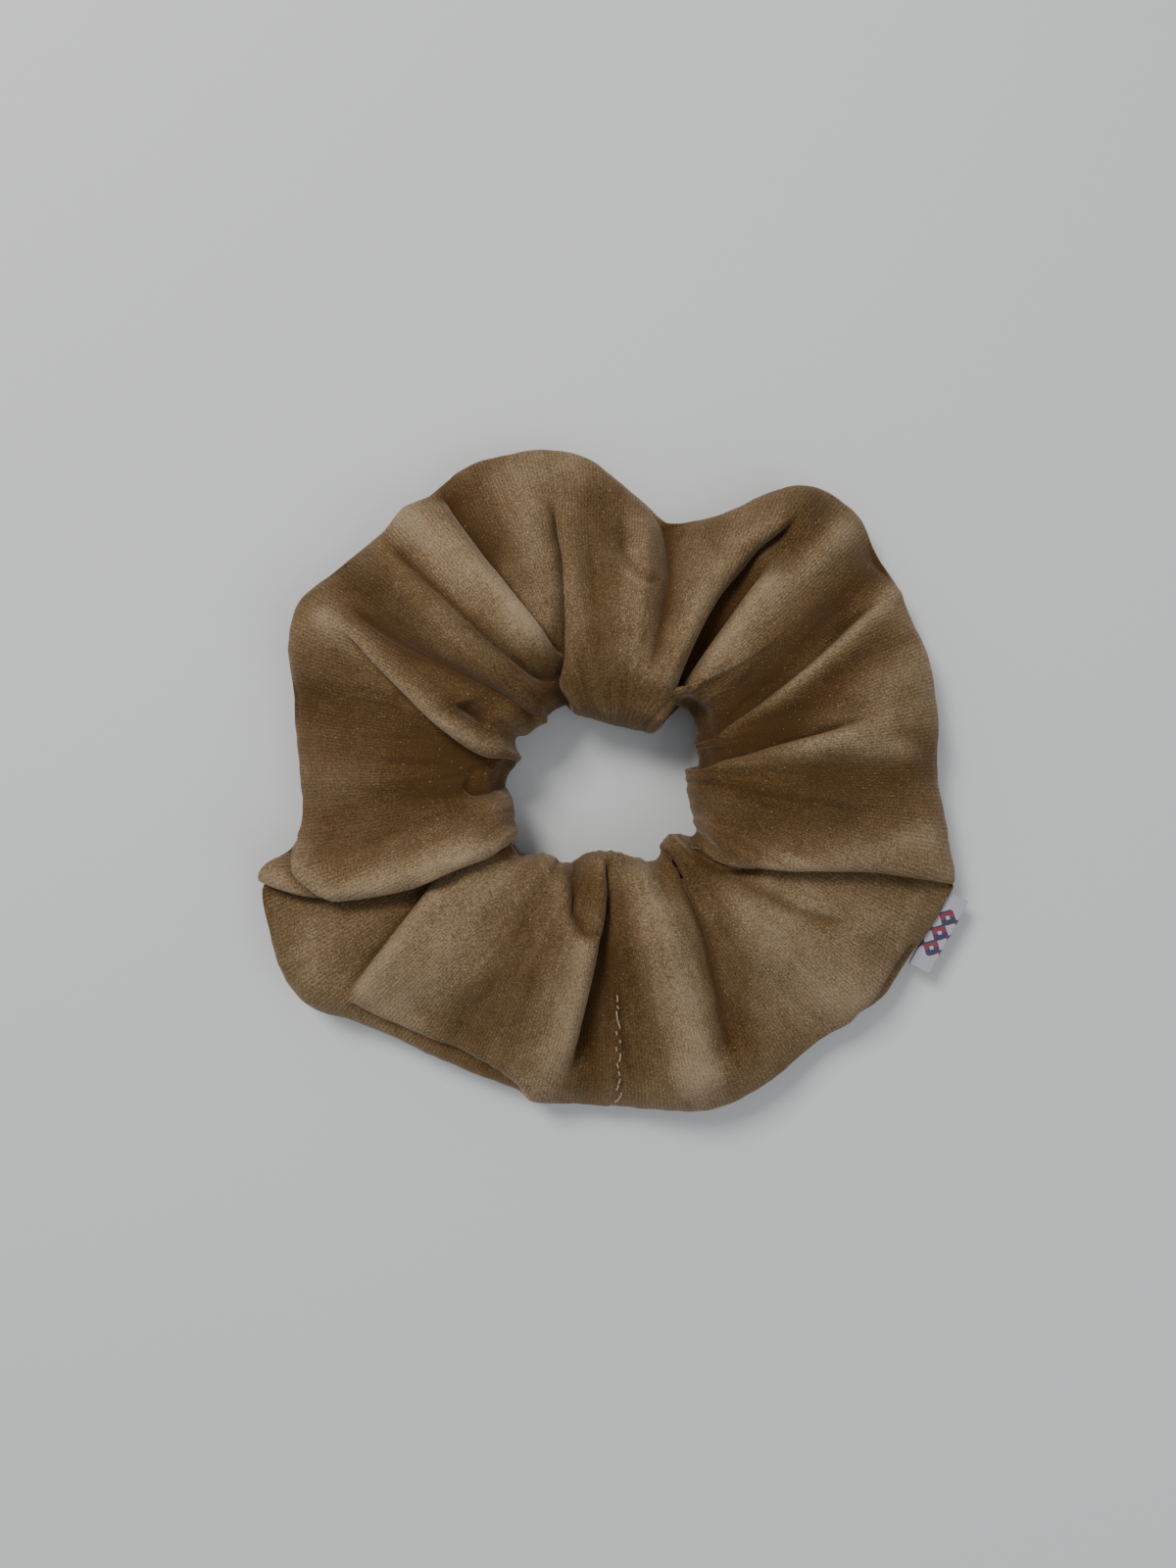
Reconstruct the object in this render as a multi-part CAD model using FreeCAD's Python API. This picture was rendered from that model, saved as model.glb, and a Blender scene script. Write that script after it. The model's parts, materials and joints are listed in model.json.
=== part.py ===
import FreeCAD, Part
import math
import os

"""Scrunchie: a wide tube of stretch velvet gathered on a loop of flat elastic, laid flat.

Millimetres, +Z up. The origin is the middle of the object's outline, on the surface that it
lies on. The tube is one strip of cloth, but it is made here as twelve gathers, so that the
loop can open: gathers are counted anticlockwise from the closing seam, which is at -Y. The
gather on the closing seam is made as two halves, 01a and 01b, one each side of the seam.
"""

# The ring.
GATHERS = 12
PITCH = 360 / GATHERS
SEAM_ANGLE = -90.0
EDGE_STEP = 15.0
# Radii of the outer edge and of the hole, every EDGE_STEP anticlockwise from the closing seam.
OUTER_EDGE = (58.8, 61.1, 60.6, 61.3, 62.7, 63.6, 58.4, 59.7, 61.4, 64.1, 58.9, 48.4,
              53.9, 60.9, 61.0, 59.7, 63.2, 59.2, 56.4, 65.6, 67.2, 62.1, 57.7, 57.9)
INNER_EDGE = (13.4, 14.2, 15.2, 14.5, 16.6, 13.8, 12.9, 16.0, 16.5, 12.0, 9.4, 8.8,
              8.9, 9.7, 11.5, 15.2, 17.1, 16.7, 16.1, 17.9, 19.0, 19.7, 17.8, 14.0)

# The velvet tube. Its wall is the mean thickness of the gathered cloth.
RIDGE_HEIGHT = 19.0
VALLEY_DROP = 3.0
WALL = 1.6
GATHER_GAP = 0.3
# Section of the tube: parts of its width from the hole outwards, and of its height.
# It starts under the middle of the tube and runs round by the hole.
SECTION = ((0.50, -0.02), (0.20, -0.02), (0.05, 0.12), (0.00, 0.46), (0.03, 0.78),
           (0.13, 0.96), (0.30, 1.00), (0.55, 0.87), (0.80, 0.62), (0.95, 0.43),
           (1.00, 0.25), (0.95, 0.06), (0.80, -0.02))

# The tube's long seam, on its outer edge, with its allowance turned in.
SEAM_HEIGHT = 4.4
ALLOWANCE = 6.35
ALLOWANCE_THICKNESS = 1.8
SEAM_INSET = 4.6
STITCH = 2.3
STITCH_PITCH = 3.0
THREAD = 0.35

# The elastic: a flat braid, standing on its edge inside the tube.
ELASTIC_RADIUS = 23.0
ELASTIC_WIDTH = 6.0
ELASTIC_THICKNESS = 1.0
ELASTIC_FOOT = 5.0
ELASTIC_GAP = 0.2
OVERLAP_GATHER = 2
ZIGZAGS = 8

# The woven label, folded in two and caught in the long seam.
LABEL_ANGLE = -25.3
LABEL_TURN = -28.0
LABEL_LENGTH = 15.0
LABEL_REACH = 3.5
LABEL_THICKNESS = 0.9
LABEL_SLIT = 0.15
LABEL_CLEARANCE = 0.15

# The closing seam, sewn through from outside.
CLOSING_OFFSET = 1.6
CLOSING_STITCHES = 15
CLOSING_SPAN = (4.2, 9.8)

FAR = 100.0


def edge_radius(edge, angle):
    """Radius at an angle, on a smooth closed curve through an edge's listed radii."""
    place = (angle - SEAM_ANGLE) / EDGE_STEP
    first = math.floor(place)
    t = place - first
    a, b, c, d = (edge[(first + k) % len(edge)] for k in (-1, 0, 1, 2))
    bend = 2 * a - 5 * b + 4 * c - d + t * (3 * (b - c) + d - a)
    return b + 0.5 * t * (c - a + t * bend)


def tube_height(angle):
    """Height of the tube: highest on a gather's ridge, lowest in the valley between two."""
    phase = math.radians(GATHERS * (angle - SEAM_ANGLE))
    return RIDGE_HEIGHT - VALLEY_DROP * (1 - math.cos(phase)) / 2


def ring_point(angle, radius, height, sideways=0.0):
    """Point on the radial plane at an angle, moved sideways along the ring."""
    c = math.cos(math.radians(angle))
    s = math.sin(math.radians(angle))
    return FreeCAD.Vector(radius * c - sideways * s, radius * s + sideways * c, height)


def inside(outline, depth):
    """Points moved a depth into an outline, each square to the line through its neighbours."""
    moved = []
    for k, (x, z) in enumerate(outline):
        before = outline[k - 1]
        after = outline[(k + 1) % len(outline)]
        run = after[0] - before[0]
        rise = after[1] - before[1]
        size = math.hypot(run, rise)
        moved.append((x + depth * rise / size, z - depth * run / size))
    return moved


def tube_section(angle, sideways=0.0, depth=0.0):
    """Points of the tube's section at an angle, or of the hollow that lies a depth inside it."""
    hole = edge_radius(INNER_EDGE, angle)
    width = edge_radius(OUTER_EDGE, angle) - hole
    height = tube_height(angle)
    outline = inside([(hole + x * width, z * height) for x, z in SECTION], depth)
    return [ring_point(angle, radius, z, sideways) for radius, z in outline]


def smooth_curve(points):
    """Closed smooth curve through points, which lie at its whole-numbered parameters."""
    curve = Part.BSplineCurve()
    curve.interpolate(Points=points, PeriodicFlag=True, Parameters=range(len(points) + 1))
    return curve


def smooth_loop(points):
    """Closed smooth wire through points."""
    return Part.Wire([smooth_curve(points).toShape()])


def stations(start, end, stretch):
    """Angles across a gather, each with a sideways move that lengthens its two ends."""
    steps = 4 if end - start > PITCH / 2 else 2
    for k in range(steps + 1):
        move = -stretch if k == 0 else stretch if k == steps else 0.0
        yield start + (end - start) * k / steps, move


def allowance(start, end):
    """The seam allowance inside the tube: two layers turned in from the outer edge."""
    loops = []
    low = SEAM_HEIGHT - ALLOWANCE_THICKNESS / 2
    high = SEAM_HEIGHT + ALLOWANCE_THICKNESS / 2
    for angle, move in stations(start, end, 1.0):
        outer = edge_radius(OUTER_EDGE, angle) - WALL / 2
        inner = outer - WALL / 2 - ALLOWANCE
        corners = [ring_point(angle, r, z, move)
                   for r, z in ((inner, low), (outer, low), (outer, high), (inner, high))]
        loops.append(Part.makePolygon(corners + corners[:1]))
    return Part.makeLoft(loops, True, False)


def cover(start, end):
    """One gather of the velvet tube: hollow, open at both ends, and flat underneath."""
    skin = [smooth_loop(tube_section(angle, move))
            for angle, move in stations(start, end, -GATHER_GAP / 2)]
    hollow = [smooth_loop(tube_section(angle, move, WALL))
              for angle, move in stations(start, end, 1.0)]
    above = Part.makeBox(2 * FAR, 2 * FAR, FAR, FreeCAD.Vector(-FAR, -FAR, 0))
    body = Part.makeLoft(skin, True, False).common(above)
    return body.cut(Part.makeLoft(hollow, True, False).cut(allowance(start, end)))


def placed(shape, angle, radius, height):
    """A shape made along X and centred on the origin, laid along the ring at a place."""
    spin = FreeCAD.Rotation(FreeCAD.Vector(0, 0, 1), angle + 90)
    shape.Placement = FreeCAD.Placement(ring_point(angle, radius, height), spin)
    return shape


def bar(length, width, height):
    """A small bar along X with its foot's middle at the origin."""
    return Part.makeBox(length, width, height, FreeCAD.Vector(-length / 2, -width / 2, 0))


def seam_thread(start, end):
    """Stitches of the long seam, in a row on the seam allowance."""
    row = edge_radius(OUTER_EDGE, (start + end) / 2) - SEAM_INSET
    turn = math.degrees(STITCH_PITCH / row)
    count = int((end - start) / turn)
    first = (start + end) / 2 - turn * (count - 1) / 2
    foot = SEAM_HEIGHT + ALLOWANCE_THICKNESS / 2
    stitches = []
    for k in range(count):
        angle = first + k * turn
        radius = edge_radius(OUTER_EDGE, angle) - SEAM_INSET
        stitches.append(placed(bar(STITCH, THREAD, THREAD), angle, radius, foot))
    return Part.makeCompound(stitches)


def band(start, end, radius):
    """A stretch of flat elastic on edge, bent round the ring at a middle radius."""
    trim = math.degrees(ELASTIC_GAP / 2 / radius)
    foot = FreeCAD.Vector(0, 0, ELASTIC_FOOT)
    up = FreeCAD.Vector(0, 0, 1)
    span = end - start - 2 * trim
    outside, inside = (Part.makeCylinder(radius + side * ELASTIC_THICKNESS / 2,
                                         ELASTIC_WIDTH, foot, up, span) for side in (1, -1))
    piece = outside.cut(inside)
    piece.rotate(FreeCAD.Vector(0, 0, 0), up, start + trim)
    return piece


def join_thread(start, end):
    """Zigzag stitches that hold the elastic's two ends together."""
    radius = ELASTIC_RADIUS + 1.5 * ELASTIC_THICKNESS
    lean = 35.0
    stitches = []
    for k in range(ZIGZAGS):
        angle = start + (end - start) * (k + 1) / (ZIGZAGS + 1)
        stitch = Part.makeBox(THREAD, THREAD, ELASTIC_WIDTH / 2,
                              FreeCAD.Vector(-THREAD / 2, -THREAD / 2, -ELASTIC_WIDTH / 4))
        side = lean if k % 2 else -lean
        spin = FreeCAD.Rotation(FreeCAD.Vector(0, 0, 1), angle + 90)
        tilt = FreeCAD.Rotation(FreeCAD.Vector(0, 1, 0), side)
        middle = ring_point(angle, radius, ELASTIC_FOOT + ELASTIC_WIDTH / 2)
        stitch.Placement = FreeCAD.Placement(middle, spin.multiply(tilt))
        stitches.append(stitch)
    return Part.makeCompound(stitches)


def closing_thread():
    """Stitches that close the tube, in a row over its top beside the closing seam."""
    curve = smooth_curve(tube_section(SEAM_ANGLE, CLOSING_OFFSET))
    stitches = []
    for k in range(CLOSING_STITCHES):
        share = k / (CLOSING_STITCHES - 1)
        place = CLOSING_SPAN[0] + share * (CLOSING_SPAN[1] - CLOSING_SPAN[0])
        along = FreeCAD.Vector(curve.tangent(place)[0])
        start = curve.value(place) - along * (STITCH / 2)
        stitches.append(Part.makeCylinder(THREAD / 2, STITCH, start, along))
    return Part.makeCompound(stitches)


def label():
    """The label's free part: a ribbon folded in two, rounded at its fold and where it hinges."""
    out = ring_point(LABEL_TURN, 1.0, 0.0)
    half = math.degrees(LABEL_LENGTH / 2 / edge_radius(OUTER_EDGE, LABEL_ANGLE))
    edge = max(ring_point(a, edge_radius(OUTER_EDGE, a), 0).dot(out)
               for a in (LABEL_ANGLE + half * k / 8 for k in range(-8, 9)))
    middle = ring_point(LABEL_ANGLE, edge_radius(OUTER_EDGE, LABEL_ANGLE), SEAM_HEIGHT)
    round_radius = LABEL_THICKNESS / 2
    root = middle + out * (edge + LABEL_CLEARANCE + round_radius - middle.dot(out))
    side = FreeCAD.Vector(0, -LABEL_LENGTH / 2, 0)
    along = FreeCAD.Vector(0, 1, 0)
    free = LABEL_REACH - round_radius
    flat = Part.makeBox(free, LABEL_LENGTH, LABEL_THICKNESS,
                        side - FreeCAD.Vector(0, 0, round_radius))
    hinge = Part.makeCylinder(round_radius, LABEL_LENGTH, side, along)
    fold = Part.makeCylinder(round_radius, LABEL_LENGTH, side + FreeCAD.Vector(free, 0, 0), along)
    slit = Part.makeBox(free - round_radius, 2 * LABEL_LENGTH, LABEL_SLIT,
                        FreeCAD.Vector(round_radius, -LABEL_LENGTH, -LABEL_SLIT / 2))
    ribbon = flat.fuse([hinge, fold]).removeSplitter().cut(slit)
    spin = FreeCAD.Rotation(FreeCAD.Vector(0, 0, 1), LABEL_TURN)
    ribbon.Placement = FreeCAD.Placement(root, spin)
    print("label hinge", [round(v, 3) for v in root])
    return ribbon


def gather_names():
    """Each gather's name with its first and last angle, the two halves first and last."""
    half = PITCH / 2
    yield "01a", SEAM_ANGLE, SEAM_ANGLE + half
    for k in range(1, GATHERS):
        middle = SEAM_ANGLE + k * PITCH
        yield f"{k + 1:02d}", middle - half, middle + half
    yield "01b", SEAM_ANGLE + 360 - half, SEAM_ANGLE + 360


def save(shape, name):
    """Write one sub-part and say how much material it has."""
    shape.exportStep(f"parts/{name}.step")
    print(f"{name:24s} {shape.Volume / 1000:8.3f} cm3  valid {shape.isValid()}")


def main():
    """Build every sub-part."""
    os.makedirs("parts", exist_ok=True)
    for name, start, end in gather_names():
        save(cover(start, end), f"cover_{name}")
        save(band(start, end, ELASTIC_RADIUS), f"elastic_{name}")
        save(seam_thread(start, end), f"seam_thread_{name}")
        if name == f"{OVERLAP_GATHER:02d}":
            save(band(start, end, ELASTIC_RADIUS + ELASTIC_THICKNESS), "elastic_overlap")
            save(join_thread(start, end), "elastic_join_thread")
    save(closing_thread(), "closing_seam_thread")
    save(label(), "label_tab")


main()
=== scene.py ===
"""A gathered velvet scrunchie, lying flat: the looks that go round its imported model.

Lengths in this file are millimetres and angles are degrees, anticlockwise from +X. Meshes are
turned into metres when they are made.
"""

import json
import logging
import math
from dataclasses import dataclass, field
from enum import Enum

import bpy
import numpy as np
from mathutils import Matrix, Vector

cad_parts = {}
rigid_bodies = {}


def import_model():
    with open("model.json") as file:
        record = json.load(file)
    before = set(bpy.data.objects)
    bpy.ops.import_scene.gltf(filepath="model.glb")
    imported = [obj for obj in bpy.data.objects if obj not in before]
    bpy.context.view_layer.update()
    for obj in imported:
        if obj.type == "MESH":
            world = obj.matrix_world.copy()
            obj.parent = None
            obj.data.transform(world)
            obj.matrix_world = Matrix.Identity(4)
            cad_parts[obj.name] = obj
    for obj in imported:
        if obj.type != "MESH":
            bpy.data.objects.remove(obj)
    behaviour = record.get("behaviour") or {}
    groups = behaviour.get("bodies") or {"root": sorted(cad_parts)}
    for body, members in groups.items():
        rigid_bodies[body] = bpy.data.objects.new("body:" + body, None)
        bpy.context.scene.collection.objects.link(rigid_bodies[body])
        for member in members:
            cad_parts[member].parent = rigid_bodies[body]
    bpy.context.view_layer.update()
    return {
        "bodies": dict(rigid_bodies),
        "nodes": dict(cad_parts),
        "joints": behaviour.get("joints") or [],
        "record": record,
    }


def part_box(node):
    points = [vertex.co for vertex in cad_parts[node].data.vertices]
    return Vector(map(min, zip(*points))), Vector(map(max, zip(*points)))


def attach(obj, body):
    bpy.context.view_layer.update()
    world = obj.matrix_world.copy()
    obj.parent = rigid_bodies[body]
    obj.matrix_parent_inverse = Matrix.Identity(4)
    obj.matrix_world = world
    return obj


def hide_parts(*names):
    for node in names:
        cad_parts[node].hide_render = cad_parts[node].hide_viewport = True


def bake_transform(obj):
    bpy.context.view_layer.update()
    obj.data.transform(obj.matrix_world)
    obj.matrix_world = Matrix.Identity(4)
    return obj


MM = 0.001
CAMERA_OVER = (-4.1, -1.3)
CAMERA_HEIGHT = 212.0
OUTLINE_HEIGHT = 6.0
SEAM_HEIGHT = 4.4
SEAM_INSET = 4.6
ELASTIC_RADIUS = 23.0
ELASTIC_FOOT = 5.0
ELASTIC_TOP = 11.0
LOG = logging.getLogger("scrunchie")

Colour = tuple[float, float, float]
Place = tuple[float, float]
Path = tuple[Place, ...]


# ---- Shapes and curves ----


def smoothstep(value: np.ndarray, low: float, high: float) -> np.ndarray:
    """Smooth ramp from 0 at low to 1 at high."""
    t = np.clip((value - low) / (high - low), 0.0, 1.0)
    return t * t * (3.0 - 2.0 * t)


def catmull(points: np.ndarray, per_span: int, closed: bool) -> np.ndarray:
    """A smooth line through points.

    Args:
        points: The points, one in each row.
        per_span: How many places are worked out between each two points.
        closed: Whether the line runs on from the last point to the first.

    Returns:
        The places on the line, one in each row.
    """
    count = len(points)
    spans = count if closed else count - 1
    t = np.linspace(0.0, 1.0, per_span, endpoint=False)[:, None]
    rows = []
    for k in range(spans):
        index = [k - 1, k, k + 1, k + 2]
        a, b, c, d = (points[i % count if closed else min(max(i, 0), count - 1)] for i in index)
        rows.append(0.5 * (2 * b + t * (c - a + t * (2 * a - 5 * b + 4 * c - d
                                                     + t * (3 * (b - c) + d - a)))))
    if not closed:
        rows.append(points[-1:])
    return np.vstack(rows)


def around(table: Path, angles: np.ndarray) -> np.ndarray:
    """Values at angles, on a smooth closed curve through a table of (angle, value)."""
    turns = np.array([row[0] for row in table], float)
    values = np.array([row[1] for row in table], float)
    count = len(table)
    wrapped = (angles - turns[0]) % 360.0 + turns[0]
    first = np.searchsorted(turns, wrapped, side="right") - 1
    ends = np.append(turns, turns[0] + 360.0)
    span = ends[first + 1] - ends[first]
    t = (wrapped - ends[first]) / span
    before, here = values[(first - 1) % count], values[first]
    after, later = values[(first + 1) % count], values[(first + 2) % count]
    gap_before = (turns[first] - turns[first - 1]) % 360.0
    gap_after = (turns[(first + 2) % count] - turns[(first + 1) % count]) % 360.0
    slope_here = (after - before) / (span + gap_before) * span
    slope_after = (later - here) / (span + gap_after) * span
    return (here * (2 * t**3 - 3 * t**2 + 1) + slope_here * (t**3 - 2 * t**2 + t)
            + after * (3 * t**2 - 2 * t**3) + slope_after * (t**3 - t**2))


def polar(path: Path) -> np.ndarray:
    """Points in the plane from a path of (angle, radius)."""
    turn = np.radians([p[0] for p in path])
    radius = np.array([p[1] for p in path])
    return np.stack([radius * np.cos(turn), radius * np.sin(turn)], axis=1)


def seen_from_above(points: np.ndarray) -> np.ndarray:
    """Where points appear in the plane of the outline, seen from the camera's place."""
    centre = np.array(CAMERA_OVER)
    scale = (CAMERA_HEIGHT - OUTLINE_HEIGHT) / (CAMERA_HEIGHT - points[..., 2:])
    return centre + (points[..., :2] - centre) * scale


@dataclass(frozen=True)
class Nearness:
    """How points lie beside a path in the plane.

    Attributes:
        side: Distance from the path, positive on its left.
        travelled: Distance along the path to the nearest place on it.
        length: The path's whole length.
        across: Unit vector to the path's left at the nearest place.
    """

    side: np.ndarray
    travelled: np.ndarray
    length: float
    across: np.ndarray


def beside(path: Path, places: np.ndarray) -> Nearness:
    """Measures places in the plane against a smooth path of (angle, radius)."""
    line = catmull(polar(path), 6, False)
    steps = np.diff(line, axis=0)
    sizes = np.linalg.norm(steps, axis=1)
    starts = np.concatenate([[0.0], np.cumsum(sizes)])
    best = np.full(len(places), 1e9)
    side = np.zeros(len(places))
    travelled = np.zeros(len(places))
    across = np.zeros((len(places), 2))
    for k, (step, size) in enumerate(zip(steps, sizes)):
        direction = step / size
        offset = places - line[k]
        run = np.clip(offset @ direction, 0.0, size)
        away = offset - run[:, None] * direction
        distance = np.linalg.norm(away, axis=1)
        nearer = distance < best
        best = np.where(nearer, distance, best)
        left = np.array([-direction[1], direction[0]])
        side = np.where(nearer, np.sign(offset @ left) * distance, side)
        travelled = np.where(nearer, starts[k] + run, travelled)
        across[nearer] = left
    return Nearness(side, travelled, float(starts[-1]), across)


# ---- Meshes ----


def new_mesh(name: str, points: np.ndarray, quads: np.ndarray,
             corners_uv: np.ndarray | None = None) -> bpy.types.Object:
    """Makes a mesh object from arrays.

    Args:
        name: The object's name.
        points: Vertices in millimetres, one in each row.
        quads: Four vertex numbers in each row, anticlockwise seen from outside.
        corners_uv: For each quad's four corners, a place on the cloth in metres.

    Returns:
        The new object, linked to the scene.
    """
    mesh = bpy.data.meshes.new(name)
    mesh.vertices.add(len(points))
    mesh.vertices.foreach_set("co", (points * MM).astype(np.float32).ravel())
    mesh.loops.add(len(quads) * 4)
    mesh.loops.foreach_set("vertex_index", quads.astype(np.int32).ravel())
    mesh.polygons.add(len(quads))
    mesh.polygons.foreach_set("loop_start", np.arange(0, len(quads) * 4, 4, dtype=np.int32))
    if corners_uv is not None:
        layer = mesh.uv_layers.new(name="cloth")
        layer.data.foreach_set("uv", corners_uv.astype(np.float32).ravel())
    mesh.update(calc_edges=True)
    mesh.validate()
    mesh.shade_smooth()
    piece = bpy.data.objects.new(name, mesh)
    bpy.context.scene.collection.objects.link(piece)
    return piece


def tube_skin(run: np.ndarray, up: np.ndarray, up_next: np.ndarray
              ) -> tuple[np.ndarray, np.ndarray]:
    """Quads of a tube's skin, and where their corners lie on the flat cloth.

    Args:
        run: Each section's place along the cloth, in metres.
        up: The place across the cloth of each point round a section.
        up_next: The same for the point after it.

    Returns:
        The quads, and their corners' places.
    """
    count = len(up)
    i, j = (part.ravel() for part in np.meshgrid(np.arange(len(run) - 1), np.arange(count),
                                                 indexing="ij"))
    k = (j + 1) % count
    skin = np.stack([i * count + j, (i + 1) * count + j, (i + 1) * count + k, i * count + k], 1)
    places = ((run[i], up[j]), (run[i + 1], up[j]), (run[i + 1], up_next[j]), (run[i], up_next[j]))
    return skin, np.stack([np.stack(place, 1) for place in places], 1)


def band_mesh(name: str, grid: np.ndarray, run: np.ndarray, up: np.ndarray, up_next: np.ndarray
              ) -> bpy.types.Object:
    """Makes a flat band from a grid of sections, with its two ends closed."""
    skin, skin_uv = tube_skin(run, up, up_next)
    count = grid.shape[1]
    row = np.arange(count // 2 - 1)
    first = np.stack([row, row + 1, count - 2 - row, count - 1 - row], 1)
    last = first[:, ::-1] + (len(grid) - 1) * count
    return new_mesh(name, grid.reshape(-1, 3), np.vstack([skin, first, last]),
                    np.concatenate([skin_uv, np.zeros((2 * len(row), 4, 2))]))


def grid_normals(grid: np.ndarray) -> np.ndarray:
    """Outward unit normals of a grid that is closed both ways."""
    across = np.roll(grid, -1, axis=1) - np.roll(grid, 1, axis=1)
    along = np.roll(grid, -1, axis=0) - np.roll(grid, 1, axis=0)
    normal = np.cross(across, along)
    size = np.linalg.norm(normal, axis=2, keepdims=True)
    return normal / np.maximum(size, 1e-9)


# ---- Shader node groups and finishes ----


class Graph:
    """A short way to add and join nodes in one node tree."""

    def __init__(self, tree: bpy.types.NodeTree) -> None:
        """Keeps the tree that nodes are added to."""
        self.tree = tree

    def add(self, kind: str, inputs: dict | None = None, **settings) -> bpy.types.Node:
        """Adds a node.

        Args:
            kind: The node's type.
            inputs: Input name or number to a value, or to an output socket to join.
            **settings: The node's own properties.

        Returns:
            The node.
        """
        node = self.tree.nodes.new(kind)
        for name, value in settings.items():
            setattr(node, name, value)
        for name, value in (inputs or {}).items():
            if isinstance(value, bpy.types.NodeSocket):
                self.tree.links.new(value, node.inputs[name])
            else:
                node.inputs[name].default_value = value
        return node

    def math(self, operation: str, first, second=0.0, third=0.0) -> bpy.types.NodeSocket:
        """Adds a Math node and returns its result."""
        return self.add("ShaderNodeMath", {0: first, 1: second, 2: third},
                        operation=operation).outputs[0]

    def mix(self, amount, first, second) -> bpy.types.NodeSocket:
        """Adds a colour mix and returns its result."""
        return self.add("ShaderNodeMix", {"Factor": amount, 6: first, 7: second},
                        data_type="RGBA").outputs[2]

    def cloth(self) -> bpy.types.NodeSocket:
        """The place on the flat cloth."""
        return self.add("ShaderNodeUVMap", uv_map="cloth").outputs["UV"]

    def place(self) -> bpy.types.NodeSocket:
        """The place on the object."""
        return self.add("ShaderNodeTexCoord").outputs["Object"]

    def skin(self, shader: bpy.types.Node, colour: bpy.types.NodeSocket,
             height: bpy.types.NodeSocket, strength: float, depth: float) -> None:
        """Joins a colour, and a relief with its depth in millimetres, to a shader."""
        bump = self.add("ShaderNodeBump", {"Height": height, "Strength": strength,
                                           "Distance": depth * MM})
        self.tree.links.new(colour, shader.inputs["Base Color"])
        self.tree.links.new(bump.outputs["Normal"], shader.inputs["Normal"])


def rgba(colour: Colour) -> tuple[float, float, float, float]:
    """A colour with full alpha."""
    return (*colour, 1.0)


def start_material(name: str) -> tuple[bpy.types.Material, Graph, bpy.types.Node]:
    """Makes a material, and returns it with its graph and its shader."""
    material = bpy.data.materials.new(name)
    material.use_nodes = True
    return material, Graph(material.node_tree), material.node_tree.nodes["Principled BSDF"]


def set_inputs(node: bpy.types.Node, values: dict[str, object]) -> None:
    """Sets a node's inputs to plain values."""
    for name, value in values.items():
        node.inputs[name].default_value = value


def group(name: str, inputs: dict[str, float], outputs: tuple[str, ...],
          vectors: tuple[str, ...] = ("Vector",)) -> tuple[bpy.types.NodeTree, Graph,
                                                            bpy.types.Node, bpy.types.Node]:
    """Starts a shader node group with vector inputs, number inputs and number outputs."""
    tree = bpy.data.node_groups.new(name, "ShaderNodeTree")
    for label in vectors:
        tree.interface.new_socket(label, in_out="INPUT", socket_type="NodeSocketVector")
    for label, value in inputs.items():
        socket = tree.interface.new_socket(label, in_out="INPUT", socket_type="NodeSocketFloat")
        socket.default_value = value
    for label in outputs:
        tree.interface.new_socket(label, in_out="OUTPUT", socket_type="NodeSocketFloat")
    graph = Graph(tree)
    return tree, graph, graph.add("NodeGroupInput"), graph.add("NodeGroupOutput")


def pile_group() -> bpy.types.NodeTree:
    """Short fibres: a fine broken grain, and larger patches where the pile is brushed over."""
    tree, graph, given, result = group(
        "pile grain", {"Grain size": 0.32, "Patch size": 9.0, "Roughness": 0.65},
        ("Grain", "Patches", "Flecks"))
    grain_scale = graph.math("DIVIDE", 1.0 / MM, given.outputs["Grain size"])
    patch_scale = graph.math("DIVIDE", 1.0 / MM, given.outputs["Patch size"])
    grain = graph.add("ShaderNodeTexNoise", {"Vector": given.outputs["Vector"],
                                             "Scale": grain_scale, "Detail": 2.0,
                                             "Roughness": given.outputs["Roughness"]})
    patches = graph.add("ShaderNodeTexNoise", {"Vector": given.outputs["Vector"],
                                               "Scale": patch_scale, "Detail": 4.0,
                                               "Roughness": 0.6, "Distortion": 0.6})
    cells = graph.add("ShaderNodeTexVoronoi", {"Vector": given.outputs["Vector"],
                                               "Scale": graph.math("MULTIPLY", grain_scale, 0.42)})
    fleck = graph.math("LESS_THAN", cells.outputs["Distance"], 0.1)
    chosen = graph.math("GREATER_THAN", grain.outputs["Fac"], 0.55)
    links = tree.links
    links.new(grain.outputs["Fac"], result.inputs["Grain"])
    links.new(patches.outputs["Fac"], result.inputs["Patches"])
    links.new(graph.math("MULTIPLY", fleck, chosen), result.inputs["Flecks"])
    return tree


def rib_group() -> bpy.types.NodeTree:
    """Knit or woven ribs: soft lines across the cloth's length, broken along their run."""
    tree, graph, given, result = group("cloth ribs", {"Pitch": 0.7, "Waver": 0.25}, ("Rib",))
    waver = graph.add("ShaderNodeTexNoise", {"Vector": given.outputs["Vector"],
                                             "Scale": 260.0, "Detail": 1.0})
    parts = graph.add("ShaderNodeSeparateXYZ", {"Vector": given.outputs["Vector"]})
    turns = graph.math("DIVIDE", graph.math("MULTIPLY", parts.outputs["X"], 1.0 / MM),
                       given.outputs["Pitch"])
    shifted = graph.math("ADD", turns, graph.math("MULTIPLY", waver.outputs["Fac"],
                                                  given.outputs["Waver"]))
    wave = graph.math("SINE", graph.math("MULTIPLY", shifted, math.tau))
    tree.links.new(graph.math("MULTIPLY_ADD", wave, 0.5, 0.5), result.inputs["Rib"])
    return tree


class Finishes(Enum):
    """The finishes that the pieces are dressed in."""

    VELVET = "velvet"
    ELASTIC = "elastic"
    THREAD = "thread"
    LABEL = "label"


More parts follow.
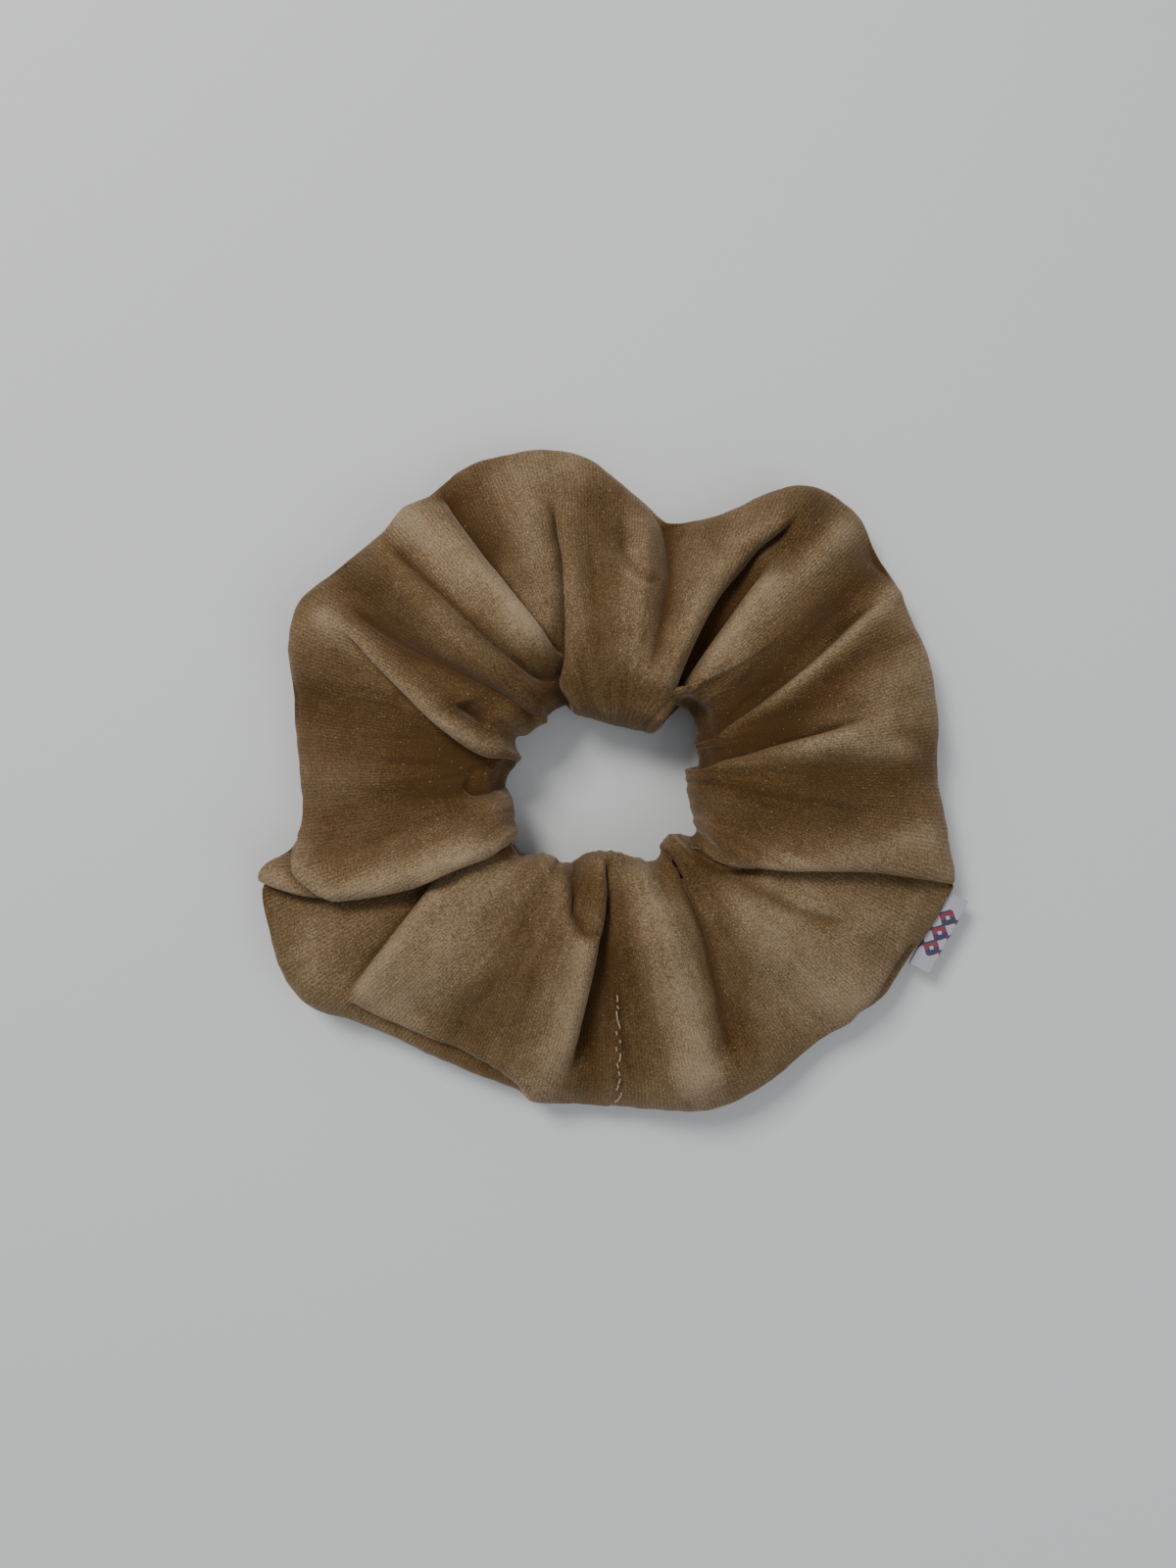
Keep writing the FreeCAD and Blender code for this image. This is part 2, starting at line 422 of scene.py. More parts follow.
@dataclass(frozen=True)
class VelvetFinish:
    """Stretch velvet: painted shade where its pile leans away, painted sheen along brushed ridges.
    """

    # Ramp colours: deep for the painted shade, light for the painted sheen, middle between.
    deep: Colour = (0.050, 0.022, 0.004)
    middle: Colour = (0.125, 0.078, 0.034)
    light: Colour = (0.315, 0.232, 0.145)
    russet: Colour = (0.120, 0.058, 0.020)
    lint: Colour = (0.60, 0.54, 0.46)
    rib_pitch: float = 0.72
    streak: float = 6.0
    sheen: float = 0.35
    sheen_tint: Colour = (0.80, 0.66, 0.52)

    def material(self, pile: bpy.types.NodeTree, ribs: bpy.types.NodeTree) -> bpy.types.Material:
        """Builds the material.

        Args:
            pile: The pile grain group.
            ribs: The cloth ribs group.

        Returns:
            The material.
        """
        material, graph, shader = start_material("velvet")
        cloth = graph.cloth()
        # Painted sheen and shade: a mesh attribute that lightens and darkens the velvet's colour.
        painted_sheen_and_shade = graph.add("ShaderNodeAttribute", attribute_name="painted_sheen_and_shade").outputs["Fac"]
        fibre = graph.add("ShaderNodeGroup", {"Vector": graph.place()}, node_tree=pile)
        rib = graph.add("ShaderNodeGroup", {"Vector": cloth, "Pitch": self.rib_pitch},
                        node_tree=ribs).outputs["Rib"]
        drawn = graph.add("ShaderNodeMapping", {"Vector": cloth, "Scale": (1.0, 0.2, 1.0)})
        brushed = graph.add("ShaderNodeTexNoise", {"Vector": drawn.outputs[0],
                                                   "Scale": 1.0 / (self.streak * MM),
                                                   "Detail": 3.0, "Roughness": 0.55,
                                                   "Distortion": 0.4})
        mixed = graph.math("MULTIPLY_ADD", brushed.outputs["Fac"], 0.42, graph.math(
            "MULTIPLY", fibre.outputs["Patches"], 0.42))
        patch = graph.math("SUBTRACT", mixed, 0.43)
        grain = graph.math("MULTIPLY_ADD", fibre.outputs["Grain"], 1.15, -0.575)
        line = graph.math("MULTIPLY_ADD", rib, 0.10, -0.05)
        # The painted sheen and shade, with random patches, grain and ribs, picks the colour on the
        # ramp.
        shade = graph.math("ADD", graph.math("ADD", painted_sheen_and_shade, patch), graph.math("ADD", grain, line))
        ramp = graph.add("ShaderNodeValToRGB", {"Fac": shade})
        stops = ramp.color_ramp.elements
        stops[0].position, stops[0].color = 0.12, rgba(self.deep)
        stops[1].position, stops[1].color = 0.92, rgba(self.light)
        middle = stops.new(0.5)
        middle.color = rgba(self.middle)
        russet = graph.math("MULTIPLY", graph.math("SUBTRACT", brushed.outputs["Fac"], 0.42), 2.4)
        warmed = graph.mix(graph.math("MINIMUM", graph.math("MAXIMUM", russet, 0.0), 0.13),
                           ramp.outputs["Color"], rgba(self.russet))
        flecked = graph.mix(graph.math("MULTIPLY", fibre.outputs["Flecks"], 0.55),
                            warmed, rgba(self.lint))
        height = graph.math("ADD", graph.math("MULTIPLY", fibre.outputs["Grain"], 0.7),
                            graph.math("MULTIPLY", rib, 0.3))
        graph.skin(shader, flecked, height, 0.55, 0.25)
        graph.tree.links.new(graph.math("MULTIPLY_ADD", fibre.outputs["Grain"], 0.2, 0.75),
                             shader.inputs["Roughness"])
        set_inputs(shader, {"Specular IOR Level": 0.12, "Sheen Weight": self.sheen,
                            "Sheen Roughness": 0.45, "Sheen Tint": rgba(self.sheen_tint)})
        return material


@dataclass(frozen=True)
class BraidFinish:
    """White braided elastic, with fine ribs and a slight yellowing."""

    light: Colour = (0.80, 0.79, 0.75)
    dark: Colour = (0.52, 0.50, 0.45)

    def material(self, pile: bpy.types.NodeTree, ribs: bpy.types.NodeTree) -> bpy.types.Material:
        """Builds the material from the same two groups."""
        material, graph, shader = start_material("elastic_braid")
        rib = graph.add("ShaderNodeGroup", {"Vector": graph.cloth(), "Pitch": 0.9},
                        node_tree=ribs).outputs["Rib"]
        fibre = graph.add("ShaderNodeGroup", {"Vector": graph.place(), "Grain size": 0.25},
                          node_tree=pile)
        raised = graph.math("MULTIPLY_ADD", fibre.outputs["Grain"], 0.5,
                            graph.math("MULTIPLY", rib, 0.5))
        colour = graph.mix(raised, rgba(self.dark), rgba(self.light))
        graph.skin(shader, colour, raised, 0.5, 0.15)
        set_inputs(shader, {"Roughness": 0.7})
        return material


@dataclass(frozen=True)
class ThreadFinish:
    """Polyester sewing thread: twisted, a little glossy, a shade lighter than the velvet."""

    light: Colour = (0.40, 0.30, 0.20)
    dark: Colour = (0.17, 0.11, 0.06)

    def material(self, pile: bpy.types.NodeTree) -> bpy.types.Material:
        """Builds the material."""
        material, graph, shader = start_material("sewing_thread")
        place = graph.place()
        fibre = graph.add("ShaderNodeGroup", {"Vector": place, "Grain size": 0.18},
                          node_tree=pile)
        twist = graph.add("ShaderNodeTexWave", {"Vector": place, "Scale": 900.0,
                                                "Distortion": 1.0}, bands_direction="DIAGONAL")
        amount = graph.math("MULTIPLY_ADD", twist.outputs["Fac"], 0.6,
                            graph.math("MULTIPLY", fibre.outputs["Grain"], 0.4))
        colour = graph.mix(amount, rgba(self.dark), rgba(self.light))
        graph.skin(shader, colour, amount, 0.6, 0.05)
        set_inputs(shader, {"Roughness": 0.5})
        return material


@dataclass(frozen=True)
class LabelFinish:
    """Woven satin ribbon with a plain pattern of small diamonds."""

    satin: Colour = (0.38, 0.38, 0.42)
    navy: Colour = (0.014, 0.011, 0.055)
    crimson: Colour = (0.20, 0.008, 0.030)
    pale: Colour = (0.30, 0.44, 0.58)
    shadow: Colour = (0.25, 0.24, 0.26)
    pitch: float = 3.1
    middle: float = 7.5

    def material(self, pile: bpy.types.NodeTree, ribs: bpy.types.NodeTree) -> bpy.types.Material:
        """Builds the material; the pattern lies along the ribbon's own width and length."""
        material, graph, shader = start_material("woven_label")
        cloth = graph.cloth()
        parts = graph.add("ShaderNodeSeparateXYZ", {"Vector": cloth})
        along = graph.math("MULTIPLY", parts.outputs["X"], 1.0 / MM)
        across = graph.math("MULTIPLY", parts.outputs["Y"], 1.0 / MM)
        rib = graph.add("ShaderNodeGroup", {"Vector": cloth, "Pitch": 0.32, "Waver": 0.1},
                        node_tree=ribs).outputs["Rib"]
        fibre = graph.add("ShaderNodeGroup", {"Vector": graph.place(), "Grain size": 0.2},
                          node_tree=pile)

        def wedge(value: bpy.types.NodeSocket, shift: float) -> bpy.types.NodeSocket:
            """Distance from the middle of a repeat, as a share of its pitch."""
            repeats = graph.math("DIVIDE", graph.math("ADD", value, shift), self.pitch)
            part = graph.math("FRACT", repeats)
            return graph.math("ABSOLUTE", graph.math("SUBTRACT", part, 0.5))

        reach = graph.math("ADD", wedge(along, 0.25), wedge(across, 1.15))
        off_middle = graph.math("ABSOLUTE", graph.math("SUBTRACT", along, self.middle))
        inside = graph.math("LESS_THAN", off_middle, 1.5 * self.pitch)
        other = graph.math("GREATER_THAN", graph.math("FRACT", graph.math(
            "DIVIDE", graph.math("ADD", along, across), self.pitch)), 0.5)
        diamond = graph.math("MULTIPLY", graph.math("LESS_THAN", reach, 0.60), inside)
        heart = graph.math("MULTIPLY", graph.math("LESS_THAN", reach, 0.15), inside)
        woven = graph.mix(diamond, rgba(self.satin),
                          graph.mix(other, rgba(self.navy), rgba(self.crimson)))
        woven = graph.mix(heart, woven, rgba(self.pale))
        tint = graph.math("MULTIPLY_ADD", rib, 0.10, graph.math(
            "MULTIPLY", fibre.outputs["Grain"], 0.10))
        woven = graph.mix(tint, woven, rgba(self.shadow))
        graph.skin(shader, woven, rib, 0.5, 0.08)
        set_inputs(shader, {"Roughness": 0.42, "Sheen Weight": 0.15})
        return material


class Wardrobe:
    """Every finish, built once."""

    def __init__(self) -> None:
        """Builds the shared groups and the materials."""
        pile, ribs = pile_group(), rib_group()
        self.materials: dict[Finishes, bpy.types.Material] = {
            Finishes.VELVET: VelvetFinish().material(pile, ribs),
            Finishes.ELASTIC: BraidFinish().material(pile, ribs),
            Finishes.THREAD: ThreadFinish().material(pile),
            Finishes.LABEL: LabelFinish().material(pile, ribs),
        }

    def dress(self, piece: bpy.types.Object, finish: Finishes) -> None:
        """Puts a finish on a piece, in place of what it wears."""
        piece.data.materials.clear()
        piece.data.materials.append(self.materials[finish])


# ---- The velvet cover ----


@dataclass(frozen=True)
class Crease:
    """A fold line that runs out from the hole.

    Attributes:
        path: The line's (angle, radius) places, from the hole outwards.
        depth: How deep it is.
        reach: How far its slopes go, on the gentler side.
        lap: How far one side lies over the other; positive where the left side does.
        fade_in: Length over which it deepens from its first place.
        fade_out: Length over which it dies away before its last place.
    """

    path: Path
    depth: float
    reach: float
    lap: float = 0.0
    fade_in: float = 2.0
    fade_out: float = 8.0


@dataclass(frozen=True)
class SheenAndRidgeStreak:
    """A streak of pile that lies one way: painted sheen above 0 and painted shade below, with the
    cloth raised and sunk to match.
    """

    path: Path
    width: float
    shade: float


OUTER_EDGE: Path = (
    (-90, 59.2), (-80, 59.8), (-73, 61.6), (-65, 61.0), (-55, 60.2), (-45, 61.0), (-38, 62.6),
    (-30, 63.2), (-21, 64.8), (-17.5, 66.0), (-13.5, 62.6), (-5, 59.2), (3, 58.4), (12, 59.5),
    (22, 60.0), (30, 61.6), (40, 63.0), (48, 64.6), (54, 64.0), (60, 58.9), (66, 52.2),
    (72, 48.4), (78, 47.3), (84, 50.2), (90, 54.0), (97, 58.4), (104, 60.9), (117, 61.5),
    (124, 59.8), (133, 59.6), (142, 61.6), (150, 63.3), (160, 60.9), (168, 58.2), (178, 56.2),
    (187, 56.6), (191, 58.2), (195.5, 66.0), (202, 67.4), (210, 68.0), (218, 66.8), (223, 63.9),
    (231, 60.6), (241, 58.8), (252, 58.4), (262, 59.3))

INNER_EDGE: Path = (
    (-90, 13.3), (-75, 14.4), (-63, 16.2), (-56, 14.6), (-47, 14.3), (-39, 15.3), (-33, 17.4),
    (-28, 16.2), (-14, 13.7), (0, 12.9), (7, 13.0), (11, 14.7), (16, 14.9), (22, 14.8),
    (32, 16.4), (38, 17.0), (40.5, 16.6), (42, 14.0), (43.5, 11.5), (45, 10.6), (48, 10.1),
    (60, 9.2), (72, 8.85), (84, 8.85), (92, 9.2), (105, 10.2), (119, 12.2), (127, 14.2),
    (143, 15.0), (150, 16.0), (158, 17.8), (162, 17.4), (167, 15.9), (172, 15.8), (177, 16.5),
    (184, 17.7), (193, 17.5), (205, 18.6), (217, 20.4), (224, 18.9), (232, 17.5), (239, 17.5),
    (246, 15.6), (253, 13.9), (262, 13.2))

CREASES: tuple[Crease, ...] = (
    Crease(((-57, 12), (-56, 20), (-56.5, 27), (-60, 37), (-65, 49), (-67, 58)), 2.7, 6.5, 0.5,
           2.0, 16.0),
    Crease(((-41, 28), (-39, 33), (-35.5, 43), (-32, 51)), 1.4, 2.6, 0.0, 4.0, 6.0),
    Crease(((-33, 14), (-35, 18.5), (-36.5, 22), (-36, 26), (-33.5, 29.5), (-30.3, 32.5),
            (-27, 37), (-23.8, 41.5), (-20, 50.5), (-18, 58), (-16.3, 68)), 4.6, 6.0, 3.0, 5.0,
           0.5),
    Crease(((-40, 17.5), (-42.5, 21), (-42.6, 24), (-40.9, 27.2), (-36.9, 30.1), (-31.7, 31.7)),
           2.4, 1.7, 0.9, 3.0, 1.5),
    Crease(((9, 13), (10, 20), (11, 31), (12.5, 44), (14, 52)), 3.0, 4.5, -1.2, 1.0, 14.0),
    Crease(((23, 14), (26.5, 21), (27, 30), (29, 39), (31.5, 49), (34, 60)), 3.4, 6.5, -1.2, 1.0,
           8.0),
    Crease(((44, 14), (49, 18), (52, 25.6), (53, 31), (53.7, 42), (53.5, 50)), 4.2, 3.4, -1.6,
           1.0, 7.0),
    Crease(((40, 13), (47.5, 17), (55, 22), (59.4, 31), (60, 41), (57.5, 50), (53.7, 58)), 5.0,
           3.6, 2.4, 1.0, 5.0),
    Crease(((71, 18), (72, 26), (74, 37), (77, 45), (78, 50)), 2.2, 4.5, 0.0, 8.0, 1.0),
    Crease(((75.5, 36.5), (80, 35.5), (83.5, 37.2), (86.3, 40.3), (87.2, 44), (87.3, 48)), 1.3,
           2.2, 0.0, 2.0, 4.0),
    Crease(((127, 13), (119, 17.8), (111, 22), (106, 27.8), (103, 36.7), (102, 42), (102.5, 52)),
           4.6, 4.5, -2.8, 0.5, 8.0),
    Crease(((110, 23), (115, 31), (118, 40), (120, 50), (121, 60)), 3.2, 4.5, 1.2, 4.0, 3.0),
    Crease(((124, 15), (127, 22), (131, 31), (133, 45), (134, 60)), 2.4, 4.0, 0.0, 1.0, 6.0),
    Crease(((147, 16), (144, 21), (145, 31), (147, 47), (147, 58)), 3.0, 6.0, 0.0, 1.0, 6.0),
    Crease(((157.6, 23.5), (156.8, 26.4), (155.5, 29.0), (153.2, 30.2)), 2.8, 1.6, 0.8, 1.5, 1.2),
    Crease(((159.0, 29.0), (157.6, 31.2), (154.4, 32.0), (151.6, 30.8)), 1.3, 1.3, 0.0, 1.2, 1.2),
    Crease(((173, 15.5), (174, 19), (175.6, 23.5), (177, 28)), 1.9, 2.0, 0.6, 1.0, 6.0),
    Crease(((172, 14), (171.5, 23), (166, 30.5), (160, 38), (154, 49), (151, 57)), 4.8, 5.0, -2.2,
           1.0, 10.0),
    Crease(((183, 15), (186, 19), (186, 24), (183, 27)), 3.2, 2.5, 1.2, 1.0, 3.0),
    Crease(((221, 17), (216, 21), (212.5, 26), (210, 32), (208.8, 39), (206, 48), (202.5, 57),
            (197.5, 64), (194, 68)), 5.2, 6.0, -3.6, 1.0, 0.5),
    Crease(((204, 53.5), (201, 55.6), (198.0, 57.6), (195.6, 59.0), (192.5, 58.8), (190, 57.2)), 2.6,
           2.4, -1.6, 2.5, 0.5),
    Crease(((210.6, 37), (213.8, 44), (217, 53), (219, 60), (220, 65)), 2.8, 5.0, 1.0, 3.0, 9.0),
    Crease(((242, 15.5), (247, 19), (250.5, 21.8), (254, 25.8), (260, 28.8), (265.5, 27.5)), 2.4,
           2.4, -1.1, 1.5, 2.0),
    Crease(((268, 14), (267.5, 24), (266, 31), (264.4, 39), (263, 48), (262.5, 55)), 4.4, 4.5,
           -2.0, 1.0, 8.0),
    Crease(((-89, 30), (-88, 42), (-86, 55)), 0.9, 1.6, 0.0, 4.0, 3.0),
)

SEAM_SHOWN: tuple[Crease, ...] = (
    Crease(((220, 62.6), (227, 60.2), (235, 57.6), (246, 56.6), (256, 58.4)), 1.3, 1.1, 0.8,
           3.0, 3.0),
    Crease(((-46, 60.4), (-40, 61.2), (-34, 61.6), (-28, 62.4)), 1.0, 1.0, 0.6, 3.0, 2.0),
)

# Streaks that paint sheen (shade above 0) and shade (shade below 0) into the velvet's colour; each
# also raises the cloth where it paints sheen and sinks it where it paints shade.
SHEEN_AND_RIDGE_STREAKS: tuple[SheenAndRidgeStreak, ...] = (
    SheenAndRidgeStreak(((-72, 20), (-72, 45), (-74, 55)), 6.0, 1.0),
    SheenAndRidgeStreak(((-48, 32), (-46, 45), (-42, 57)), 8.0, 0.8),
    SheenAndRidgeStreak(((-33, 42), (-27, 58)), 6.0, 0.55),
    SheenAndRidgeStreak(((-10, 57), (-20, 41), (-27, 33)), 3.0, 0.7),
    SheenAndRidgeStreak(((8, 20), (8, 38), (5, 52)), 2.8, 0.95),
    SheenAndRidgeStreak(((15, 50), (20, 59)), 5.0, 0.45),
    SheenAndRidgeStreak(((24, 20), (25.5, 33), (28, 40), (33, 60)), 2.0, 1.1),
    SheenAndRidgeStreak(((42, 22), (46, 30), (48, 45), (46, 60)), 3.6, 0.85),
    SheenAndRidgeStreak(((62, 22), (66, 42)), 3.5, 0.5),
    SheenAndRidgeStreak(((80, 22), (83, 44)), 3.4, 0.65),
    SheenAndRidgeStreak(((96, 54), (104, 57)), 5.0, 0.45),
    SheenAndRidgeStreak(((108, 32), (108, 46)), 5.0, 0.75),
    SheenAndRidgeStreak(((119, 30), (125, 44), (128, 59)), 4.0, 0.95),
    SheenAndRidgeStreak(((139, 24), (140, 42)), 4.0, 0.5),
    SheenAndRidgeStreak(((167, 23), (162, 32), (156, 44), (151, 58)), 3.0, 0.95),
    SheenAndRidgeStreak(((206, 30), (203, 46), (197, 60)), 4.5, 0.7),
    SheenAndRidgeStreak(((207, 60), (214, 64)), 4.0, 0.6),
    SheenAndRidgeStreak(((220, 30), (225, 42), (226, 56)), 9.0, 0.75),
    SheenAndRidgeStreak(((260, 34), (259, 44), (257, 58)), 3.4, 0.7),
    SheenAndRidgeStreak(((-84, 22), (-83, 52)), 4.5, -0.6),
    SheenAndRidgeStreak(((-53, 18), (-54, 30), (-60, 42), (-65, 52)), 3.6, -1.0),
    SheenAndRidgeStreak(((-28, 24), (-16, 30), (-8, 44)), 8.0, -0.7),
    SheenAndRidgeStreak(((1, 18), (1, 40), (2, 60)), 4.5, -0.85),
    SheenAndRidgeStreak(((15, 18), (15, 34)), 4.0, -0.95),
    SheenAndRidgeStreak(((19, 28), (22, 42), (27, 53)), 3.6, -0.75),
    SheenAndRidgeStreak(((31, 20), (34, 34), (37, 48), (39, 62)), 5.0, -1.1),
    SheenAndRidgeStreak(((50, 50), (52, 64)), 3.0, -0.8),
    SheenAndRidgeStreak(((57, 24), (57, 46)), 3.0, -0.8),
    SheenAndRidgeStreak(((74, 32), (76, 46)), 3.0, -0.6),
    SheenAndRidgeStreak(((60, 13), (90, 14), (110, 16)), 4.5, -0.45),
    SheenAndRidgeStreak(((93, 22), (93, 50)), 6.0, -0.5),
    SheenAndRidgeStreak(((118, 48), (119, 60)), 4.0, -0.95),
    SheenAndRidgeStreak(((147, 26), (146, 42), (143, 60)), 5.5, -0.85),
    SheenAndRidgeStreak(((127, 18), (128, 24)), 4.0, -0.6),
    SheenAndRidgeStreak(((175, 26), (170, 44), (166, 56)), 8.0, -0.9),
    SheenAndRidgeStreak(((186, 30), (192, 50)), 7.0, -0.7),
    SheenAndRidgeStreak(((242, 30), (240, 52)), 6.0, -0.5),
    SheenAndRidgeStreak(((250, 18), (258, 20)), 3.5, -0.5),
    SheenAndRidgeStreak(((268, 32), (266, 54)), 3.0, -0.85),
)

# Section of the tube: parts of its width from the hole outwards, and of its height.
SECTION: Path = (
    (0.50, 0.00), (0.20, 0.00), (0.06, 0.13), (0.00, 0.44), (0.03, 0.76), (0.13, 0.95),
    (0.30, 1.00), (0.55, 0.88), (0.80, 0.64), (0.94, 0.44), (1.00, 0.26), (0.95, 0.08),
    (0.80, 0.00))


@dataclass
class VelvetCover:
    """The gathered velvet tube, made whole and then parted along its ridges.

    Attributes:
        columns: Steps round the ring.
        rows: Steps round the tube's section.
        height: The tube's height on its ridges.
        wall: The cloth's thickness.
        strip_length: Length of the strip, between its two ends' seams.
        strip_width: Width of the strip, between its long seam's two edges.
        pleats: Counts round the ring of the small gathers beside the hole.
        pleat_height: How far each count of small gathers stands out.
        tuck_height: How far the cloth under the ring is drawn up at most.
        smoothing: Rounds of averaging that soften the folds.
        soft: Over how many millimetres the cloth settles onto the elastic.
        seed: Seed of the small waves' random draws.
    """

    columns: int = 1080
    rows: int = 160
    height: float = 18.0
    wall: float = 0.5
    strip_length: float = 406.4
    strip_width: float = 101.6
    pleats: tuple[int, ...] = (31, 41, 53)
    pleat_height: float = 0.09
    tuck_height: float = 4.4
    smoothing: int = 2
    soft: float = 0.5
    seed: int = 11
    angles: np.ndarray = field(init=False)
    painted_sheen_and_shade: np.ndarray = field(init=False)
    grid: np.ndarray = field(init=False)

    def __post_init__(self) -> None:
        """Lays out the columns, anticlockwise from the closing seam."""
        self.angles = -90.0 + np.arange(self.columns) * 360.0 / self.columns

    def section(self) -> np.ndarray:
        """The section's (part of width, part of height) places, evenly spaced round it."""
        line = catmull(np.array(SECTION), 60, True)
        line = np.vstack([line, line[:1]])
        sizes = np.linalg.norm(np.diff(line * (46.0, self.height), axis=0), axis=1)
        reached = np.concatenate([[0.0], np.cumsum(sizes)])
        wanted = np.linspace(0.0, reached[-1], self.rows, endpoint=False)
        return np.stack([np.interp(wanted, reached, line[:, k]) for k in range(2)], axis=1)

    def waves(self, across: np.ndarray, along: np.ndarray, size: float, count: int,
              draw: np.random.Generator) -> np.ndarray:
        """Irregular soft waves: a sum of sines with drawn directions and phases."""
        total = np.zeros_like(across)
        for _ in range(count):
            turn = draw.uniform(0.0, math.tau)
            pace = math.tau / (size * draw.uniform(0.7, 1.4))
            phase = draw.uniform(0.0, math.tau)
            total += np.sin(pace * (across * math.cos(turn) + 0.6 * along * math.sin(turn)) + phase)
        return total / math.sqrt(count)

    def plump_ring(self) -> tuple[np.ndarray, np.ndarray]:
        """The tube before it is folded, and each row's part of the tube's width."""
        part, rise = self.section().T
        turn = np.radians(self.angles)
        hole = around(INNER_EDGE, self.angles)[:, None]
        rim = around(OUTER_EDGE, self.angles)[:, None] + 0.2
        swell = 1.0 + 0.05 * np.sin(3 * turn + 0.7) + 0.04 * np.sin(5 * turn + 2.0)
        lift = 0.9 + 0.8 * np.sin(5 * turn + 1.1) + 0.5 * np.sin(9 * turn + 0.4)
        radius = hole + part[None, :] * (rim - hole)
        z = rise[None, :] * self.height * swell[:, None] + 0.12
        z = z + lift[:, None] * smoothstep(part, 0.72, 1.0)[None, :]
        groove = np.exp(-((z - SEAM_HEIGHT) / 0.8) ** 2) * smoothstep(part, 0.85, 0.97)[None, :]
        radius = radius - 0.9 * groove
        ring = np.stack([radius * np.cos(turn)[:, None], radius * np.sin(turn)[:, None], z], 2)
        return ring, part

    def ripples(self, ring: np.ndarray, part: np.ndarray) -> np.ndarray:
        """Small gathers beside the hole and soft unevenness elsewhere, outwards."""
        draw = np.random.default_rng(self.seed)
        turn = np.radians(self.angles)[:, None]
        radius = np.linalg.norm(ring[:, :, :2], axis=2)
        calm = 1.0 - 0.85 * np.exp(-((np.degrees(turn) - 85.0) / 34.0) ** 4)
        near_hole = np.exp(-part / 0.16)[None, :] * calm
        move = np.zeros_like(radius)
        for count in self.pleats:
            move += self.pleat_height * near_hole * np.sin(
                count * turn + draw.uniform(0.0, math.tau))
        arc = turn * 40.0 + 0.0 * radius
        move += 0.40 * self.waves(arc, radius, 17.0, 9, draw) * smoothstep(part, 0.1, 0.4)[None, :]
        move += 0.13 * calm * self.waves(arc, radius, 6.0, 14, draw)
        move += 0.05 * self.waves(arc, radius, 2.6, 18, draw)
        return move

    def tucks(self, part: np.ndarray) -> np.ndarray:
        """How far the cloth under the ring is drawn up into gathers, next to the hole."""
        draw = np.random.default_rng(self.seed + 1)
        turn = np.radians(self.angles)[:, None]
        bend = 1.1 * part[None, :] * np.sin(4 * turn + draw.uniform(0.0, math.tau))
        total = np.zeros((self.columns, self.rows))
        for count, share in ((38, 0.5), (45, 0.3), (23, 0.2)):
            total += share * np.sin(count * turn + 3.0 * bend + draw.uniform(0.0, math.tau))
        reach = smoothstep(part, 0.02, 0.14) * (1.0 - smoothstep(part, 0.42, 0.92))
        return self.tuck_height * reach[None, :] * (0.5 + 0.5 * total)

    def fold(self, crease: Crease, places: np.ndarray) -> tuple[np.ndarray, np.ndarray, np.ndarray]:
        """One crease's work on places.

        Args:
            crease: The crease.
            places: Where the cloth's points appear from above.

        Returns:
            How far points go in, how far they slide in the plane, and the shade painted beside the
            crease: darker in the fold, lighter on the lapping rolled edge.
        """
        near = beside(crease.path, places)
        strength = (smoothstep(near.travelled, 0.0, crease.fade_in)
                    * smoothstep(near.length - near.travelled, 0.0, crease.fade_out))
        over = -1.0 if crease.lap < 0.0 else 1.0
        lap = abs(crease.lap)
        q = near.side * over
        roll = 1.2 + 0.42 * crease.reach if lap > 0.0 else crease.reach

        def pillow(distance: np.ndarray, size: float) -> np.ndarray:
            """Rounded shoulder: 1 at the crease and 0 from size onwards."""
            t = 1.0 - np.clip(distance / size, 0.0, 1.0)
            return 1.0 - np.sqrt(np.maximum(1.0 - t * t, 0.0))

        under = np.exp(q / crease.reach) if lap > 0.0 else pillow(-q, roll)
        drop = strength * crease.depth * np.where(q < 0.0, under, pillow(q, roll))
        drop -= strength * 0.10 * crease.depth * np.exp(-((q - roll) / (0.6 * roll)) ** 2) * (
            lap > 0.0)
        tuck = 0.4 * lap
        slide = np.where(q < 0.0, tuck * np.exp(1.2 * q / crease.reach),
                         tuck * np.exp(-q / 0.7)
                         - lap * (1.0 - np.exp(-q / 0.9)) * np.exp(-q / (0.8 * crease.reach)))
        shift = near.across * (over * strength * slide)[:, None]
        firm = min(crease.depth / 3.0, 1.0)
        # Painted shade: darkening along the crease and under the lapping side. Painted highlight:
        # lightening on the lapping rolled edge.
        shade = -0.30 * firm * np.exp(-(q / 0.8) ** 2)
        shade -= 0.16 * firm * np.where(q < 0.0, np.exp(q / 3.0), 0.0)
        shade += 0.12 * firm * np.exp(-((q - 2.4) / 1.5) ** 2) * (lap > 0.0)
        return drop, shift, strength * shade

    def clear_elastic(self, grid: np.ndarray, part: np.ndarray) -> np.ndarray:
        """Keeps the cloth off the elastic that runs inside it."""
        radius = np.linalg.norm(grid[:, :, :2], axis=2)
        z = grid[:, :, 2]
        wall = (part < 0.07)[None, :] & (z > 3.2) & (z < ELASTIC_TOP + 1.7)
        held = np.where(wall, np.minimum(radius, ELASTIC_RADIUS - 1.75), radius)
        grid = grid.copy()
        grid[:, :, :2] *= (held / radius)[:, :, None]
        above = np.arange(self.rows) > self.rows * 0.2
        beyond = np.abs(held - ELASTIC_RADIUS) - 2.5
        least = ELASTIC_TOP + 1.5 - 1.3 * np.maximum(beyond, 0.0)
        lifted = least + self.soft * np.logaddexp(0.0, (z - least) / self.soft)
        crown = (above & (part >= 0.07))[None, :] & (z > 3.2)
        grid[:, :, 2] = np.where(crown, lifted, z)
        return grid

